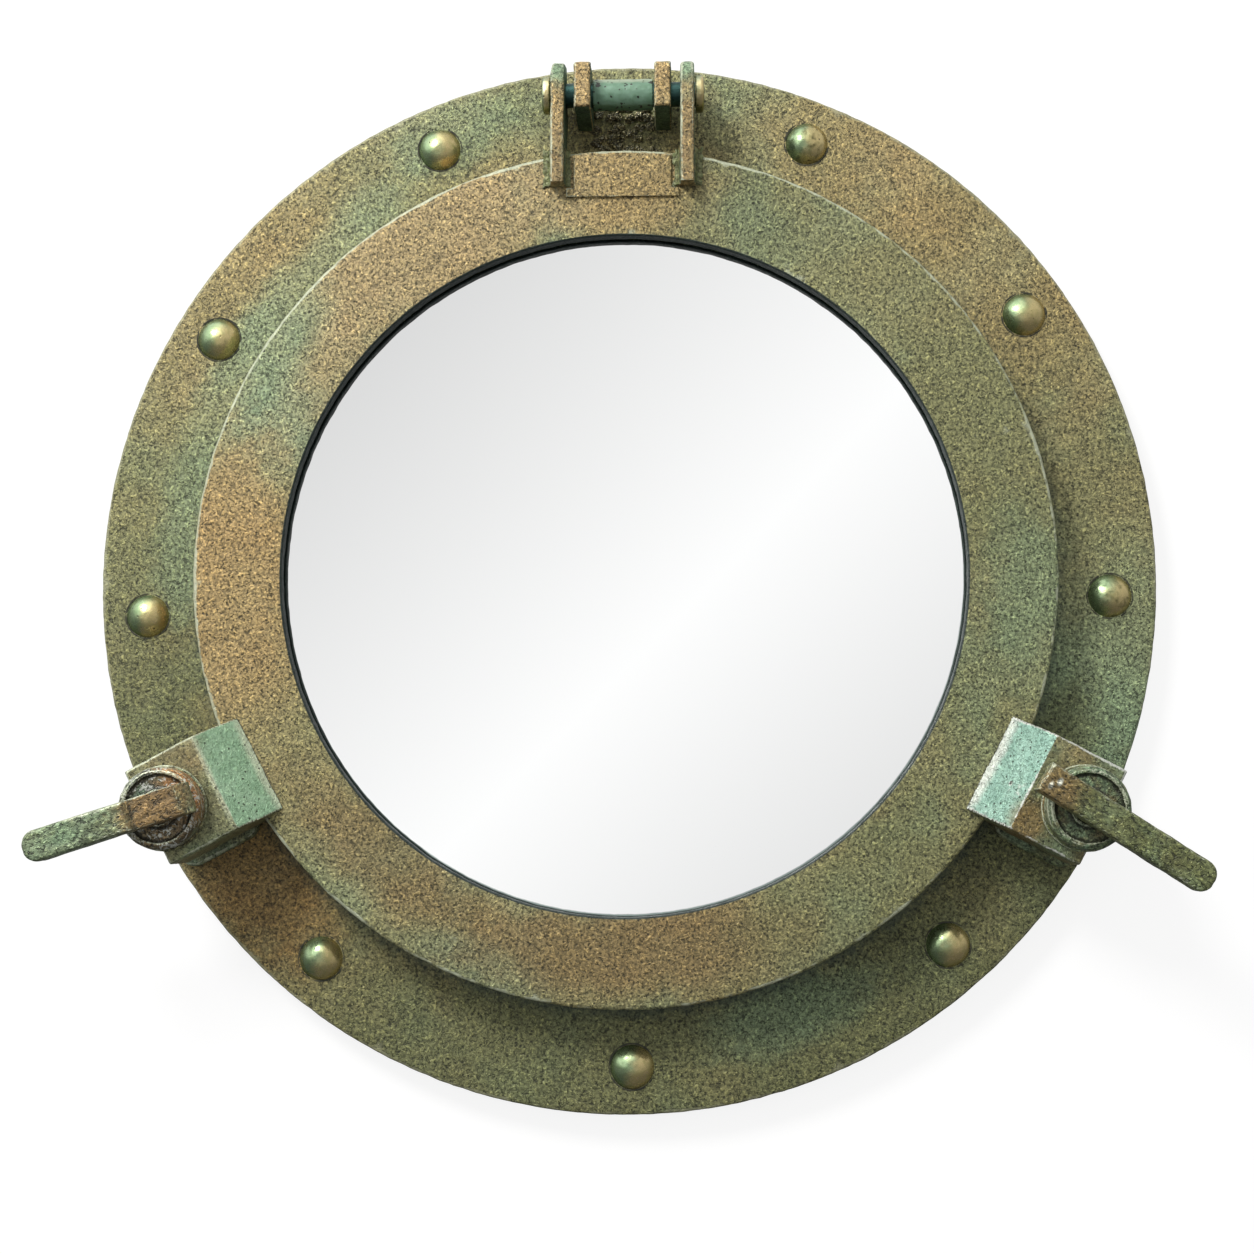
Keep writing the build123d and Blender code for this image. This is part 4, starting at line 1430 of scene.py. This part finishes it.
@dataclass
class Studio:
    """The backdrop, the light and the camera."""

    level: float = 0.62
    key_power: float = 26.0
    key_size: float = 0.55
    camera_place: tuple[float, float, float] = (0.027, -0.768, -0.097)
    camera_aim: tuple[float, float, float] = (0.0010, 0.0, -0.0205)
    lens: float = 54.6
    paper_tone: float = 0.22
    paper_glow: float = 0.84
    mirror_peak: float = 1.030
    mirror_fall: float = 1.02
    mirror_shift: float = 0.111
    softbox_way: Tone = (-0.52, -0.55, 0.65)
    softbox: float = 2.2
    dim: float = 0.16

    def build(self, face: Vector) -> None:
        """Builds the studio round the mirror.

        Args:
            face: The centre of the flange's front face.
        """
        self.world()
        self.wall()
        self.floor()
        self.key(face)
        self.camera(face)
        bpy.context.scene.view_settings.view_transform = "Standard"

    def world(self) -> None:
        """A plain grey-white surround, which mirrors see as white with a soft diagonal shade."""
        world = bpy.data.worlds.new("studio")
        bpy.context.scene.world = world
        world.use_nodes = True
        bench = Bench(world.node_tree)
        way = bench.node("ShaderNodeTexCoord").outputs["Generated"]
        slant = bench.along(way, (1.0, 0.0, -1.0)) + self.mirror_shift
        shade = bench.largest(self.mirror_peak - abs(slant) * self.mirror_fall, 0.55)
        lit = bench.step(bench.along(way, self.softbox_way), 0.62, 0.92) * self.softbox
        upper = bench.step(bench.along(way, (0.0, -0.3, 0.95)), -0.6, 0.9) * 0.75
        around = lit + upper + self.dim
        front = bench.step(bench.along(way, (0.0, -1.0, 0.0)), 0.86, 0.93)
        shade = front * shade + (1.0 - front) * around
        path = bench.node("ShaderNodeLightPath").outputs
        glossy = bench.largest(Field(bench, path["Is Glossy Ray"]), Field(bench, path["Is Transmission Ray"]))
        strength = glossy * shade + (1.0 - glossy) * self.level
        camera = Field(bench, path["Is Camera Ray"])
        strength = camera + (1.0 - camera) * strength
        ports = {"Color": (1.0, 1.0, 1.0), "Strength": strength}
        shader = bench.node("ShaderNodeBackground", {}, ports)
        bench.node("ShaderNodeOutputWorld", {}, {"Surface": shader.outputs[0]})

    def sheet(self, name: str, corners: list[Vector]) -> bpy.types.Object:
        """A flat staged sheet.

        Args:
            name: The sheet's name.
            corners: Its corners, so that it faces the mirror's front or upwards.

        Returns:
            The sheet's object.
        """
        mesh = bmesh.new()
        mesh.faces.new([mesh.verts.new(corner) for corner in corners])
        data = bpy.data.meshes.new(name)
        mesh.to_mesh(data)
        mesh.free()
        made = bpy.data.objects.new(name, data)
        bpy.context.scene.collection.objects.link(made)
        made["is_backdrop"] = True
        return made

    def paper(self) -> bpy.types.Material:
        """White paper that shows from its front only, and lights itself up to white for the camera."""
        made = bpy.data.materials.new("studio_paper")
        made.use_nodes = True
        bench = Bench(made.node_tree)
        path = bench.node("ShaderNodeLightPath").outputs
        seen = bench.largest(Field(bench, path["Is Camera Ray"]), Field(bench, path["Is Glossy Ray"]))
        ports = {"Base Color": (self.paper_tone,) * 3, "Roughness": 1.0, "Emission Color": (1.0, 1.0, 1.0),
                 "Emission Strength": seen * self.paper_glow}
        shader = bench.node("ShaderNodeBsdfPrincipled", {}, ports)
        shader.inputs["Specular IOR Level"].default_value = 0.0
        clear = bench.node("ShaderNodeBsdfTransparent")
        behind = bench.node("ShaderNodeNewGeometry").outputs["Backfacing"]
        mixed = bench.node("ShaderNodeMixShader", {}, {0: behind, 1: shader.outputs[0], 2: clear.outputs[0]})
        bench.node("ShaderNodeOutputMaterial", {}, {"Surface": mixed.outputs[0]})
        return made

    def wall(self) -> None:
        """The wall behind the flange, which takes its shadow but casts none."""
        _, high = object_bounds()
        y, half = high[1] + 0.0006, 4.0
        corners = [Vector((-half, y, -half)), Vector((half, y, -half)), Vector((half, y, half)),
                   Vector((-half, y, half))]
        wall = self.sheet("studio_wall", corners)
        wall.data.materials.append(self.paper())
        for kind in ("shadow", "diffuse", "glossy", "transmission"):
            setattr(wall, f"visible_{kind}", False)

    def floor(self) -> None:
        """A pale floor, out of the view."""
        z, half = -1.45, 4.0
        corners = [Vector((-half, -half, z)), Vector((half, -half, z)), Vector((half, half, z)),
                   Vector((-half, half, z))]
        floor = self.sheet("studio_floor", corners)
        floor.visible_glossy = False
        floor.data.materials.append(bpy.data.materials["studio_paper"])

    def key(self, face: Vector) -> None:
        """The soft key light, from the upper left in front.

        Args:
            face: The centre of the flange's front face.
        """
        lamp = bpy.data.lights.new("key", "AREA")
        lamp.shape = "DISK"
        lamp.size = self.key_size
        lamp.energy = self.key_power
        lamp.color = (1.0, 0.985, 0.96)
        made = bpy.data.objects.new("key", lamp)
        bpy.context.scene.collection.objects.link(made)
        made.location = face + Vector((-0.85, -1.25, 1.15))
        made.rotation_euler = (face - made.location).to_track_quat("-Z", "Y").to_euler()

    def camera(self, face: Vector) -> None:
        """The camera, a little below and right of the flange's centre.

        Args:
            face: The centre of the flange's front face.
        """
        data = bpy.data.cameras.new("camera")
        data.lens = self.lens
        data.sensor_width = 36.0
        data.clip_start = 0.01
        data.clip_end = 50.0
        made = bpy.data.objects.new("camera", data)
        bpy.context.scene.collection.objects.link(made)
        made.location = face + Vector(self.camera_place)
        aim = face + Vector(self.camera_aim)
        made.rotation_euler = (aim - made.location).to_track_quat("-Z", "Y").to_euler()
        bpy.context.scene.camera = made


def main() -> None:
    """Builds the mirror piece by piece, then the studio."""
    logging.basicConfig(level=logging.INFO, format="%(message)s")
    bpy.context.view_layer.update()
    palette = Palette()
    flange = Flange(palette)
    flange.build()
    Hinge(palette).build()
    MirrorRing(palette).build()
    for side in Side:
        Dog(palette, side).build()
    Studio().build(flange.face)


if __name__ == "__main__":
    main()
